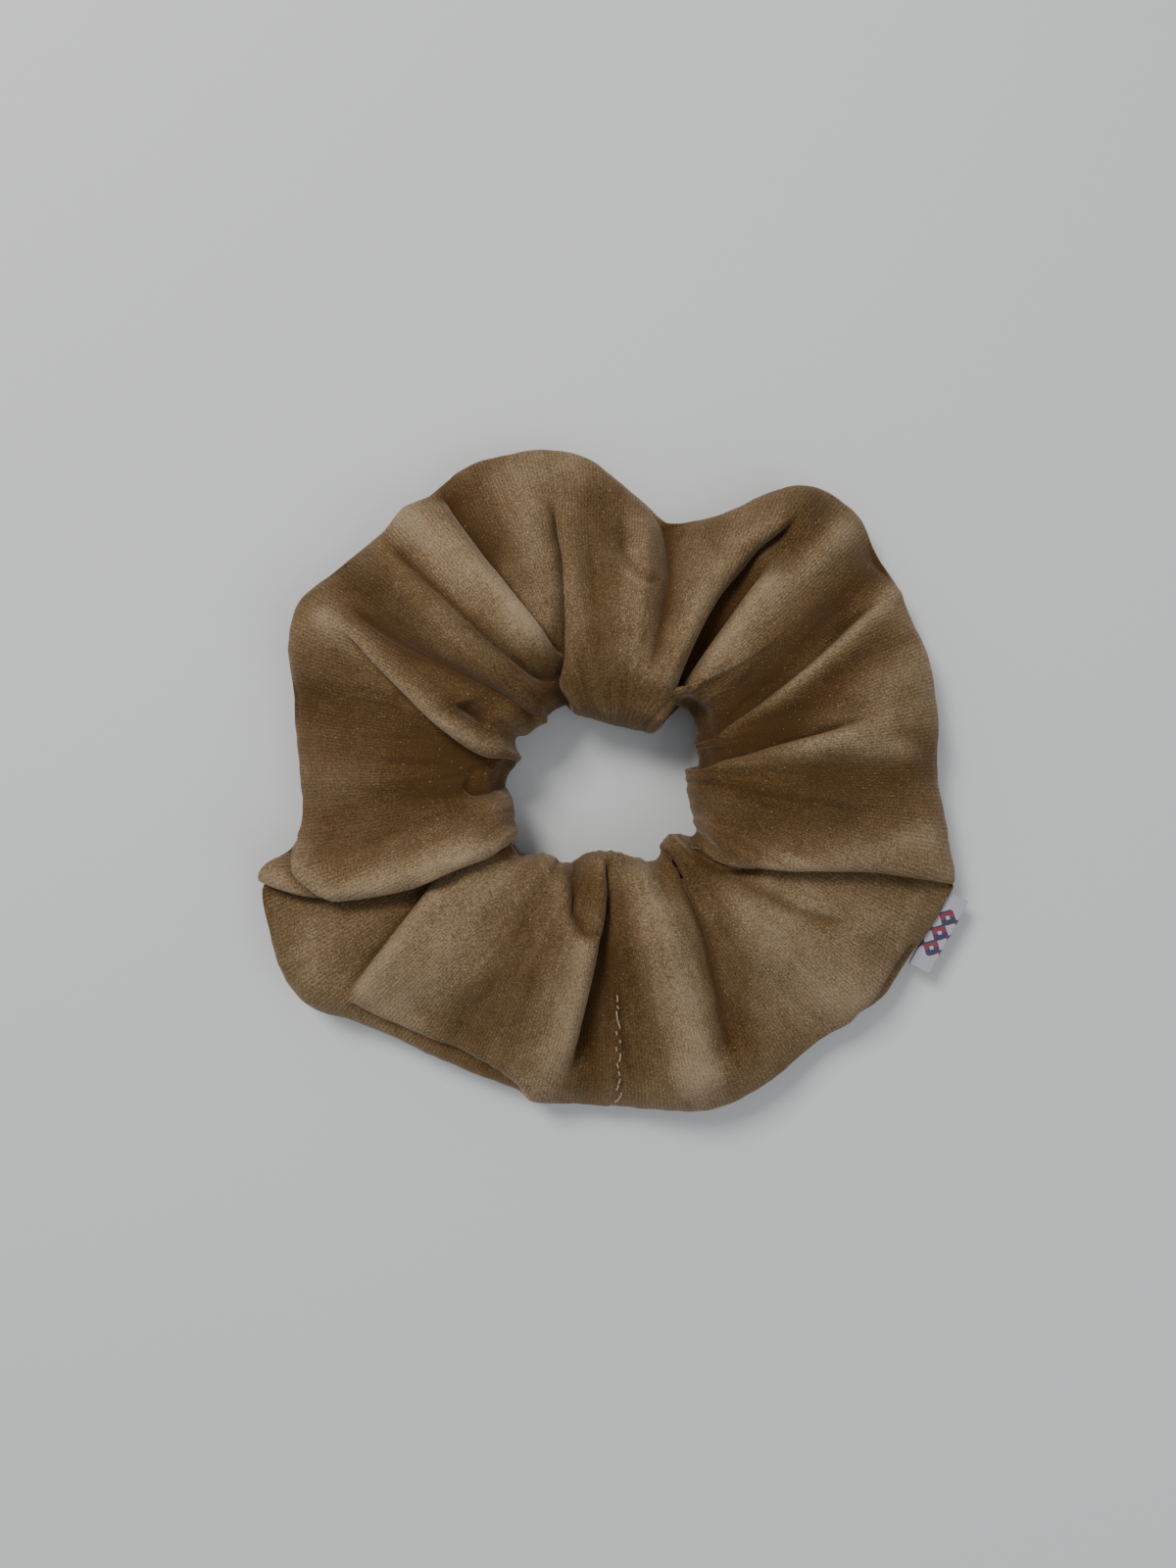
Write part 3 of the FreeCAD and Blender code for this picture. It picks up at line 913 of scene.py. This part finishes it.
    def shape(self) -> None:
        """Makes the grid: the plump ring, its ripples, and its listed folds."""
        flat, part = self.plump_ring()
        normal = grid_normals(flat)
        upper = smoothstep(normal[:, :, 2], -0.45, 0.25)
        move = self.ripples(flat, part) * (0.25 + 0.75 * upper)
        move -= self.tucks(part) * smoothstep(-normal[:, :, 2], 0.1, 0.8)
        places = seen_from_above(flat).reshape(-1, 2)
        # light holds the painted sheen and shade: 0.47 everywhere, then lightened and darkened along
        # the streaks and beside the creases.
        light = np.full(len(places), 0.47)
        relief = np.zeros(len(places))
        for streak in SHEEN_AND_RIDGE_STREAKS:
            near = beside(streak.path, places)
            bell = np.exp(-(near.side / streak.width) ** 2)
            light += 0.31 * streak.shade * bell
            relief += streak.shade * bell * min(0.32 * streak.width, 1.5)
        drop = np.zeros(len(places))
        shift = np.zeros((len(places), 2))
        for crease in CREASES + SEAM_SHOWN:
            more_drop, more_shift, more_light = self.fold(crease, places)
            drop += more_drop
            shift += more_shift
            light += more_light
        limit = 0.6 * self.height
        drop = limit * np.tanh(drop / limit)
        reach = (0.22 + 0.78 * upper) * (0.5 + 0.5 * smoothstep(part, 0.03, 0.14))[None, :]
        out = move + (relief * upper.ravel() - drop * reach.ravel()).reshape(upper.shape)
        grid = flat + normal * out[:, :, None]
        slack = upper * (0.4 + 0.6 * smoothstep(part, 0.02, 0.12))[None, :]
        grid[:, :, :2] += shift.reshape(*upper.shape, 2) * slack[:, :, None]
        grid = self.clear_elastic(grid, part)
        for _ in range(self.smoothing):
            grid = 0.5 * grid + 0.125 * (np.roll(grid, 1, 0) + np.roll(grid, -1, 0)
                                         + np.roll(grid, 1, 1) + np.roll(grid, -1, 1))
        grid[:, :, 2] = np.maximum(grid[:, :, 2], 0.12)
        self.grid = grid
        # Keeps the painted sheen and shade for each point, from 0 (painted shade) to 1 (painted
        # sheen).
        self.painted_sheen_and_shade = np.clip(light, 0.0, 1.0).reshape(upper.shape)

    def surface_at(self, angle: float, radius: float) -> np.ndarray:
        """The uppermost place of the cloth at an angle and radius."""
        turn = math.radians(angle)
        wanted = radius * np.array([math.cos(turn), math.sin(turn)])
        points = self.grid.reshape(-1, 3)
        close = np.linalg.norm(points[:, :2] - wanted, axis=1) < 0.7
        return np.append(wanted, points[close, 2].max())

    def strip(self) -> tuple[np.ndarray, np.ndarray]:
        """Each column's and row's place on the flat strip, in metres."""
        along = np.arange(self.columns + 1) / self.columns * self.strip_length * MM
        across = np.arange(self.rows + 1) / self.rows * self.strip_width * MM
        return along, across

    def lining_at(self, column: int) -> np.ndarray:
        """Places of the cloth's inner side at one column."""
        column %= self.columns
        return self.grid[column] - grid_normals(self.grid)[column] * self.wall

    def piece(self, name: str, first: int, last: int) -> bpy.types.Object:
        """Makes the stretch of tube between two columns, with its thickness closed at the ends.

        Args:
            name: The piece's name.
            first: The first column.
            last: The last column, which the next stretch starts with.

        Returns:
            The piece, with smooth normals that run on across its ends.
        """
        span = np.arange(first, last + 1) % self.columns
        outside = self.grid[span]
        normals = grid_normals(self.grid)[span]
        inside = outside - normals * self.wall
        steps, rows = len(span), self.rows
        along, across = self.strip()
        skin, skin_uv = tube_skin(along[first:last + 1], across[:-1], across[1:])
        skin, skin_uv = skin[:, [0, 3, 2, 1]], skin_uv[:, [0, 3, 2, 1]]
        lining = skin[:, ::-1] + steps * rows
        ring = np.arange(rows)
        after = (ring + 1) % rows
        deep = steps * rows
        start = np.stack([after, ring, ring + deep, after + deep], 1)
        end_row = (steps - 1) * rows
        end = np.stack([ring + end_row, after + end_row, after + end_row + deep,
                        ring + end_row + deep], 1)
        quads = np.vstack([skin, lining, start, end])
        points = np.vstack([outside.reshape(-1, 3), inside.reshape(-1, 3)])
        rim_uv = np.zeros((2 * rows, 4, 2))
        made = new_mesh(name, points, quads,
                        np.concatenate([skin_uv, skin_uv[:, ::-1], rim_uv]))
        # The painted sheen and shade goes on both sides of the cloth; the lining gets the same
        # values as the outside.
        light = np.tile(self.painted_sheen_and_shade[span].ravel(), 2)
        attribute = made.data.attributes.new("painted_sheen_and_shade", "FLOAT", "POINT")
        attribute.data.foreach_set("value", light.astype(np.float32))
        facing = np.vstack([normals.reshape(-1, 3), -normals.reshape(-1, 3)])
        made.data.normals_split_custom_set_from_vertices(facing.tolist())
        return made


# ---- The chain of bodies ----


@dataclass(frozen=True)
class Link:
    """One joint of the ring: the bodies on its two sides and the angle it lies at."""

    parent: str
    child: str
    angle: float

    def hang(self, piece: bpy.types.Object, cut: np.ndarray) -> None:
        """Bakes a piece's placement into its mesh; the piece is not fastened to either body.

        Args:
            piece: The piece.
            cut: Places on its two end faces, in millimetres; not used.
        """
        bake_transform(piece)


def ring_links(frame: dict) -> list[Link]:
    """The ring's joints in order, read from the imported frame."""
    links = []
    for joint in frame["joints"]:
        if joint["type"] == "slide":
            x, y, _ = joint["axis"]
            links.append(Link(joint["parent"], joint["child"], math.degrees(math.atan2(-x, y))))
    return links


# ---- The elastic ----


@dataclass
class ElasticLoop:
    """Flat braided elastic, standing on its edge inside the tube, its two ends lapped.

    Attributes:
        cords: Raised cords across the braid's width.
        relief: How far a cord stands out.
        thickness: The braid's thickness.
        cut_length: Length of elastic that the loop is cut from.
        steps: Steps along one link of the ring.
    """

    cords: int = 8
    relief: float = 0.09
    thickness: float = 0.8
    cut_length: float = 157.0
    steps: int = 40

    def section(self) -> np.ndarray:
        """The braid's (outwards, up) section, with its cords, round its middle."""
        width = ELASTIC_TOP - ELASTIC_FOOT - 0.2
        up = np.linspace(-0.5, 0.5, 49)
        bulge = self.relief * np.abs(np.sin(np.pi * self.cords * (up + 0.5)))
        edge = np.sqrt(np.clip(1.0 - (2.0 * np.abs(up)) ** 14, 0.0, 1.0))
        out = (self.thickness / 2 - self.relief) * edge + bulge * edge + 0.02
        middle = (ELASTIC_TOP + ELASTIC_FOOT) / 2
        front = np.stack([out, middle + up * width], 1)
        back = np.stack([-out, middle + up * width], 1)[::-1]
        return np.vstack([front, back])

    def band(self, name: str, start: float, end: float, radius: float
             ) -> tuple[bpy.types.Object, np.ndarray]:
        """Makes a stretch of braid round the ring.

        Args:
            name: The piece's name.
            start: Its first angle.
            end: Its last angle.
            radius: Radius of its middle.

        Returns:
            The piece, and the places on its two ends.
        """
        section = self.section()
        turns = np.radians(np.linspace(start, end, self.steps + 1))[:, None]
        ripple = 0.04 * np.sin(turns * 150.0 + section[None, :, 1] * 3.0)
        out = radius + section[None, :, 0] + ripple * np.sign(section[None, :, 0])
        grid = np.stack([out * np.cos(turns), out * np.sin(turns),
                         np.broadcast_to(section[None, :, 1], out.shape)], 2)
        up = section[:, 1] * MM
        piece = band_mesh(name, grid, turns[:, 0] * radius * MM, up, np.roll(up, -1))
        return piece, np.vstack([grid[0], grid[-1]])

    def build(self, links: list[Link], wardrobe: "Wardrobe") -> None:
        """Makes the loop between every two bodies, and its lapped end."""
        half = 180.0 / len(links)
        share = self.cut_length / (len(links) + 1) * MM
        for number, link in enumerate(links):
            piece, cut = self.band(f"elastic_braid_{number + 1:02d}", link.angle - half,
                                   link.angle + half, ELASTIC_RADIUS)
            wardrobe.dress(piece, Finishes.ELASTIC)
            link.hang(piece, cut)
            nodes = [link.child.replace("gather", "elastic")]
            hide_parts(*(nodes + ["elastic_01a"] if number == 0 else nodes))
            LOG.info("%s, %.1f mm of the cut elastic", piece.name, share / MM)
        lap, _ = self.band("elastic_braid_lap", links[0].angle + 1.0, links[1].angle - 1.0,
                           ELASTIC_RADIUS + 1.0)
        wardrobe.dress(lap, Finishes.ELASTIC)
        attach(lap, links[0].child)
        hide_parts("elastic_overlap")
        LOG.info("%s rides on %s", lap.name, links[0].child)


# ---- Stitches ----


def stitch_tree(material: bpy.types.Material) -> bpy.types.NodeTree:
    """Geometry Nodes that lay thread stitches along a line.

    Args:
        material: The thread's material.

    Returns:
        The tree, with inputs for the stitches' pitch, length, thickness and arch.
    """
    tree = bpy.data.node_groups.new("stitches along a line", "GeometryNodeTree")
    tree.interface.new_socket("Line", in_out="INPUT", socket_type="NodeSocketGeometry")
    for name, value in (("Pitch", 3.0), ("Stitch length", 2.3), ("Thread radius", 0.175),
                        ("Arch", 0.15), ("Unevenness", 12.0), ("Shortest", 0.9)):
        socket = tree.interface.new_socket(name, in_out="INPUT", socket_type="NodeSocketFloat")
        socket.default_value = value
    tree.interface.new_socket("Stitches", in_out="OUTPUT", socket_type="NodeSocketGeometry")
    graph = Graph(tree)
    given, result = graph.add("NodeGroupInput"), graph.add("NodeGroupOutput")

    def metres(name: str, share: float = 1.0) -> bpy.types.NodeSocket:
        """An input in millimetres, as metres."""
        return graph.math("MULTIPLY", given.outputs[name], share * MM)

    line = graph.add("GeometryNodeMeshToCurve", {"Mesh": given.outputs["Line"]})
    spaced = graph.add("GeometryNodeResampleCurve", {"Curve": line.outputs[0],
                                                     "Length": metres("Pitch")}, mode="LENGTH")
    start = graph.add("ShaderNodeCombineXYZ", {"X": metres("Stitch length", -0.5)})
    crown = graph.add("ShaderNodeCombineXYZ", {"Z": metres("Arch", 2.0)})
    end = graph.add("ShaderNodeCombineXYZ", {"X": metres("Stitch length", 0.5)})
    arch = graph.add("GeometryNodeCurveQuadraticBezier",
                     {"Resolution": 6, "Start": start.outputs[0], "Middle": crown.outputs[0],
                      "End": end.outputs[0]})
    profile = graph.add("GeometryNodeCurvePrimitiveCircle", {"Resolution": 7,
                                                             "Radius": metres("Thread radius")})
    stitch = graph.add("GeometryNodeCurveToMesh", {"Curve": arch.outputs[0],
                                                   "Profile Curve": profile.outputs[0],
                                                   "Fill Caps": True})
    smooth = graph.add("GeometryNodeSetShadeSmooth", {"Geometry": stitch.outputs[0]})
    tangent = graph.add("GeometryNodeInputTangent")
    turned = graph.add("FunctionNodeAlignRotationToVector", {"Vector": tangent.outputs[0]},
                       axis="X")
    sway = graph.add("FunctionNodeRandomValue", {"Seed": 5}, data_type="FLOAT")
    graph.tree.links.new(graph.math("MULTIPLY", given.outputs["Unevenness"], -math.pi / 180.0),
                         sway.inputs[2])
    graph.tree.links.new(graph.math("MULTIPLY", given.outputs["Unevenness"], math.pi / 180.0),
                         sway.inputs[3])
    swayed = graph.add("FunctionNodeRotateRotation", {"Rotation": turned.outputs[0]},
                       rotation_space="LOCAL")
    euler = graph.add("ShaderNodeCombineXYZ", {"Z": sway.outputs[1]})
    graph.tree.links.new(euler.outputs[0], swayed.inputs["Rotate By"])
    spread = graph.add("FunctionNodeRandomValue", {"Seed": 9, 3: 1.0}, data_type="FLOAT")
    graph.tree.links.new(given.outputs["Shortest"], spread.inputs[2])
    sized = graph.add("ShaderNodeCombineXYZ", {"X": spread.outputs[1], "Y": 1.0, "Z": 1.0})
    laid = graph.add("GeometryNodeInstanceOnPoints", {"Points": spaced.outputs[0],
                                                      "Instance": smooth.outputs[0],
                                                      "Rotation": swayed.outputs[0],
                                                      "Scale": sized.outputs[0]})
    real = graph.add("GeometryNodeRealizeInstances", {"Geometry": laid.outputs[0]})
    dressed = graph.add("GeometryNodeSetMaterial", {"Geometry": real.outputs[0],
                                                    "Material": material})
    tree.links.new(dressed.outputs[0], result.inputs["Stitches"])
    return tree


@dataclass
class Stitching:
    """The thread of the long seam, the closing seam and the elastic's join.

    Attributes:
        tree: The stitch tree.
        thread_radius: Radius of the thread.
    """

    tree: bpy.types.NodeTree
    thread_radius: float = 0.175

    def row(self, name: str, line: np.ndarray, pitch: float, length: float,
            arch: float, uneven: float = 12.0, shortest: float = 0.9) -> bpy.types.Object:
        """Lays one row of stitches and makes it a plain mesh.

        Args:
            name: The row's name.
            line: Places that it follows, in millimetres.
            pitch: Distance from stitch to stitch.
            length: Length of one stitch.
            arch: How far its middle rises.
            uneven: Degrees by which stitches turn off the line, either way.
            shortest: The shortest stitch, as a part of the full length.

        Returns:
            The row.
        """
        mesh = bpy.data.meshes.new(name + "_line")
        edges = [(k, k + 1) for k in range(len(line) - 1)]
        mesh.from_pydata([tuple(place * MM) for place in line], edges, [])
        carrier = bpy.data.objects.new(name + "_line", mesh)
        bpy.context.scene.collection.objects.link(carrier)
        modifier = carrier.modifiers.new("stitches", "NODES")
        modifier.node_group = self.tree
        sizes = {"Pitch": pitch, "Stitch length": length, "Thread radius": self.thread_radius,
                 "Arch": arch, "Unevenness": uneven, "Shortest": shortest}
        for item in self.tree.interface.items_tree:
            if item.item_type == "SOCKET" and item.in_out == "INPUT" and item.name in sizes:
                modifier[item.identifier] = sizes[item.name]
        evaluated = carrier.evaluated_get(bpy.context.evaluated_depsgraph_get())
        made = bpy.data.meshes.new_from_object(evaluated)
        carrier.modifiers.clear()
        bpy.data.objects.remove(carrier)
        piece = bpy.data.objects.new(name, made)
        bpy.context.scene.collection.objects.link(piece)
        return piece

    def fix(self, piece: bpy.types.Object, body: str, node: str) -> None:
        """Puts a row on its body, in place of its plain solid."""
        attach(piece, body)
        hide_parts(node)
        LOG.info("%s rides on %s", piece.name, body)

    def long_seam(self, frame: dict) -> None:
        """Rows of lockstitch along the tube's long seam, inside its outer edge."""
        for node in sorted(n for n in frame["nodes"] if n.startswith("seam_thread_")):
            part = node.removeprefix("seam_thread_")
            body = "root" if part == "01a" else f"gather_{part}"
            middle = -90.0 + 30.0 * (int(part[:2]) - 1)
            low = middle if part == "01a" else middle - 15.0
            high = middle if part == "01b" else middle + 15.0
            angles = np.linspace(low + 1.6, high - 1.6, 40)
            angles = angles + (360.0 if part == "01b" else 0.0)
            radius = around(OUTER_EDGE, angles) - SEAM_INSET
            turn = np.radians(angles)
            line = np.stack([radius * np.cos(turn), radius * np.sin(turn),
                             np.full_like(turn, SEAM_HEIGHT)], 1)
            self.fix(self.row(f"long_seam_stitches_{part}", line, 3.0, 2.4, 0.1), body, node)

    def closing_seam(self, cover: VelvetCover) -> None:
        """Small stitches over the cover where the tube's two ends are joined."""
        places = [cover.surface_at(-88.6 + 0.45 * math.sin(k * 1.3), radius)
                  for k, radius in enumerate(np.linspace(38.0, 57.0, 28))]
        piece = self.row("closing_seam_stitches", np.array(places), 1.7, 1.7, 0.12, 34.0, 0.35)
        self.fix(piece, "root", "closing_seam_thread")

    def elastic_join(self) -> None:
        """A zigzag through the elastic's two lapped ends."""
        low, high = (np.array(corner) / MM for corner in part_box("elastic_join_thread"))
        turns = np.radians(np.linspace(-68.0, -52.0, 9))
        ups = np.where(np.arange(9) % 2 == 0, low[2] + 0.6, high[2] - 0.6)
        radius = ELASTIC_RADIUS + 1.0 + 0.55
        line = np.stack([radius * np.cos(turns), radius * np.sin(turns), ups], 1)
        piece = self.row("elastic_join_stitches", catmull(line, 6, False), 1.5, 1.45, 0.05)
        self.fix(piece, "gather_02", "elastic_join_thread")


# ---- The label ----


@dataclass
class FoldedLabel:
    """A woven ribbon, folded in two, its ends caught in the long seam.

    Attributes:
        length: The ribbon's width, which lies along the seam.
        reach: How far the fold stands out from the hinge line.
        tail: How much of each end shows inside the seam.
        thickness: The ribbon's thickness.
        gap: Space between its two layers.
        cut_width: The ribbon's width before it is sewn in.
        steps: Steps along the seam.
    """

    length: float = 14.8
    reach: float = 3.45
    tail: float = 0.7
    thickness: float = 0.26
    gap: float = 0.26
    cut_width: float = 15.0
    steps: int = 60

    def centre_line(self) -> np.ndarray:
        """The ribbon's (outwards, up) line from one end round the fold to the other."""
        round_radius = (self.thickness + self.gap) / 2
        bend = self.reach - self.thickness / 2 - round_radius
        lower = [(x, -round_radius) for x in np.linspace(-self.tail, bend, 14)]
        turn = np.linspace(-math.pi / 2, math.pi / 2, 9)[1:-1]
        fold = [(bend + round_radius * math.cos(a), round_radius * math.sin(a)) for a in turn]
        upper = [(x, round_radius) for x in np.linspace(bend, -self.tail, 14)]
        return np.array(lower + fold + upper)

    def build(self, frame: dict, wardrobe: "Wardrobe") -> bpy.types.Object:
        """Makes the label on its hinge."""
        joint = next(j for j in frame["joints"] if j["child"] == "label")
        place = np.array(joint["pos_m"]) / MM
        x, y, _ = joint["axis"]
        out = np.array([-y, x, 0.0])
        line = self.centre_line()
        ahead = np.gradient(line, axis=0)
        ahead /= np.linalg.norm(ahead, axis=1, keepdims=True)
        side = np.stack([-ahead[:, 1], ahead[:, 0]], 1) * self.thickness / 2
        loop = np.vstack([line - side, (line + side)[::-1]])
        across = np.linspace(-0.5, 0.5, self.steps + 1)
        grid = np.zeros((self.steps + 1, len(loop), 3))
        along = np.array([-out[1], out[0], 0.0])
        for row, share in enumerate(across):
            fray = 0.05 * math.sin(share * 39.0) + 0.03 * math.sin(share * 91.0 + 1.0)
            free = smoothstep(loop[:, 0], 0.0, self.reach)
            wave = 0.14 * math.sin(share * 5.2 + 0.6) * free
            outward = loop[:, 0] + fray * free
            grid[row] = (place + outward[:, None] * out + along * share * self.length
                         + np.array([0.0, 0.0, 1.0]) * (loop[:, 1] + wave)[:, None])
        sizes = np.linalg.norm(np.diff(loop, axis=0), axis=1)
        up = np.concatenate([[0.0], np.cumsum(sizes)]) * MM
        piece = band_mesh("folded_woven_label", grid, (across + 0.5) * self.cut_width * MM, up,
                          np.append(up[1:], up[-1]))
        wardrobe.dress(piece, Finishes.LABEL)
        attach(piece, "label")
        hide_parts("label_tab")
        LOG.info("%s rides on label", piece.name)
        return piece


# ---- The floor, lights and camera ----


@dataclass
class Studio:
    """A pale floor under soft light from the upper left, seen from straight above."""

    picture_height: float = 280.0
    floor_colour: Colour = (0.62, 0.63, 0.62)

    def floor(self) -> None:
        """Lays the floor."""
        bpy.ops.mesh.primitive_plane_add(size=6.0, location=(0, 0, 0))
        floor = bpy.context.object
        floor.name = "floor"
        material, _, shader = start_material("floor_paint")
        set_inputs(shader, {"Base Color": rgba(self.floor_colour), "Roughness": 0.85})
        floor.data.materials.append(material)

    def light(self, name: str, place: tuple[float, float, float], size: float, watts: float,
              colour: Colour) -> None:
        """Hangs a square soft light that looks at the object."""
        lamp = bpy.data.lights.new(name, "AREA")
        lamp.size = size
        lamp.energy = watts
        lamp.color = colour
        holder = bpy.data.objects.new(name, lamp)
        bpy.context.scene.collection.objects.link(holder)
        holder.location = place
        holder.rotation_euler = (-Vector(place)).to_track_quat("-Z", "Y").to_euler()

    def build(self) -> None:
        """Makes the floor, the lights, the surroundings and the camera."""
        self.floor()
        self.light("key", (-0.35, 0.42, 0.62), 0.28, 5.5, (1.0, 0.985, 0.96))
        self.light("fill", (0.55, -0.35, 0.60), 0.6, 2.0, (0.95, 0.97, 1.0))
        world = bpy.data.worlds.new("surroundings")
        world.use_nodes = True
        set_inputs(world.node_tree.nodes["Background"], {"Color": rgba((0.9, 0.93, 1.0)),
                                                         "Strength": 0.45})
        bpy.context.scene.world = world
        camera = bpy.data.cameras.new("camera")
        camera.sensor_fit = "VERTICAL"
        camera.sensor_height = 24.0
        camera.lens = 24.0 * (CAMERA_HEIGHT - OUTLINE_HEIGHT) / self.picture_height
        camera.clip_start = 0.01
        holder = bpy.data.objects.new("camera", camera)
        bpy.context.scene.collection.objects.link(holder)
        holder.location = (CAMERA_OVER[0] * MM, CAMERA_OVER[1] * MM, CAMERA_HEIGHT * MM)
        bpy.context.scene.camera = holder


# ---- Putting it together ----


def dress_cover(cover: VelvetCover, links: list[Link], wardrobe: Wardrobe) -> None:
    """Parts the cover along its ridges into one piece for each link, and bakes each piece in place.

    Args:
        cover: The shaped cover.
        links: The ring's joints in order.
        wardrobe: The finishes.
    """
    each = cover.columns // len(links)
    pieces = [cover.piece(f"velvet_gather_{number + 1:02d}", number * each, (number + 1) * each)
              for number in range(len(links))]
    areas = [sum(face.area for face in piece.data.polygons) / 2 for piece in pieces]
    for number, (link, piece, area) in enumerate(zip(links, pieces, areas)):
        wardrobe.dress(piece, Finishes.VELVET)
        ends = cover.grid[[number * each, (number + 1) * each % cover.columns]].reshape(-1, 3)
        link.hang(piece, np.vstack([ends, cover.lining_at(number * each),
                                    cover.lining_at((number + 1) * each)]))
        nodes = [link.child.replace("gather", "cover")]
        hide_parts(*(nodes + ["cover_01a"] if number == 0 else nodes))
    LOG.info("cloth %.0f mm2 of %.0f mm2 cut", sum(areas) / MM / MM,
             cover.strip_length * cover.strip_width)


def main() -> None:
    """Builds every sub-assembly in order."""
    logging.basicConfig(level=logging.INFO)
    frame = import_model()
    wardrobe = Wardrobe()
    links = ring_links(frame)
    cover = VelvetCover()
    cover.shape()
    dress_cover(cover, links, wardrobe)
    ElasticLoop().build(links, wardrobe)
    stitching = Stitching(stitch_tree(wardrobe.materials[Finishes.THREAD]))
    stitching.long_seam(frame)
    stitching.closing_seam(cover)
    stitching.elastic_join()
    FoldedLabel().build(frame, wardrobe)
    Studio().build()


if __name__ == "__main__":
    main()
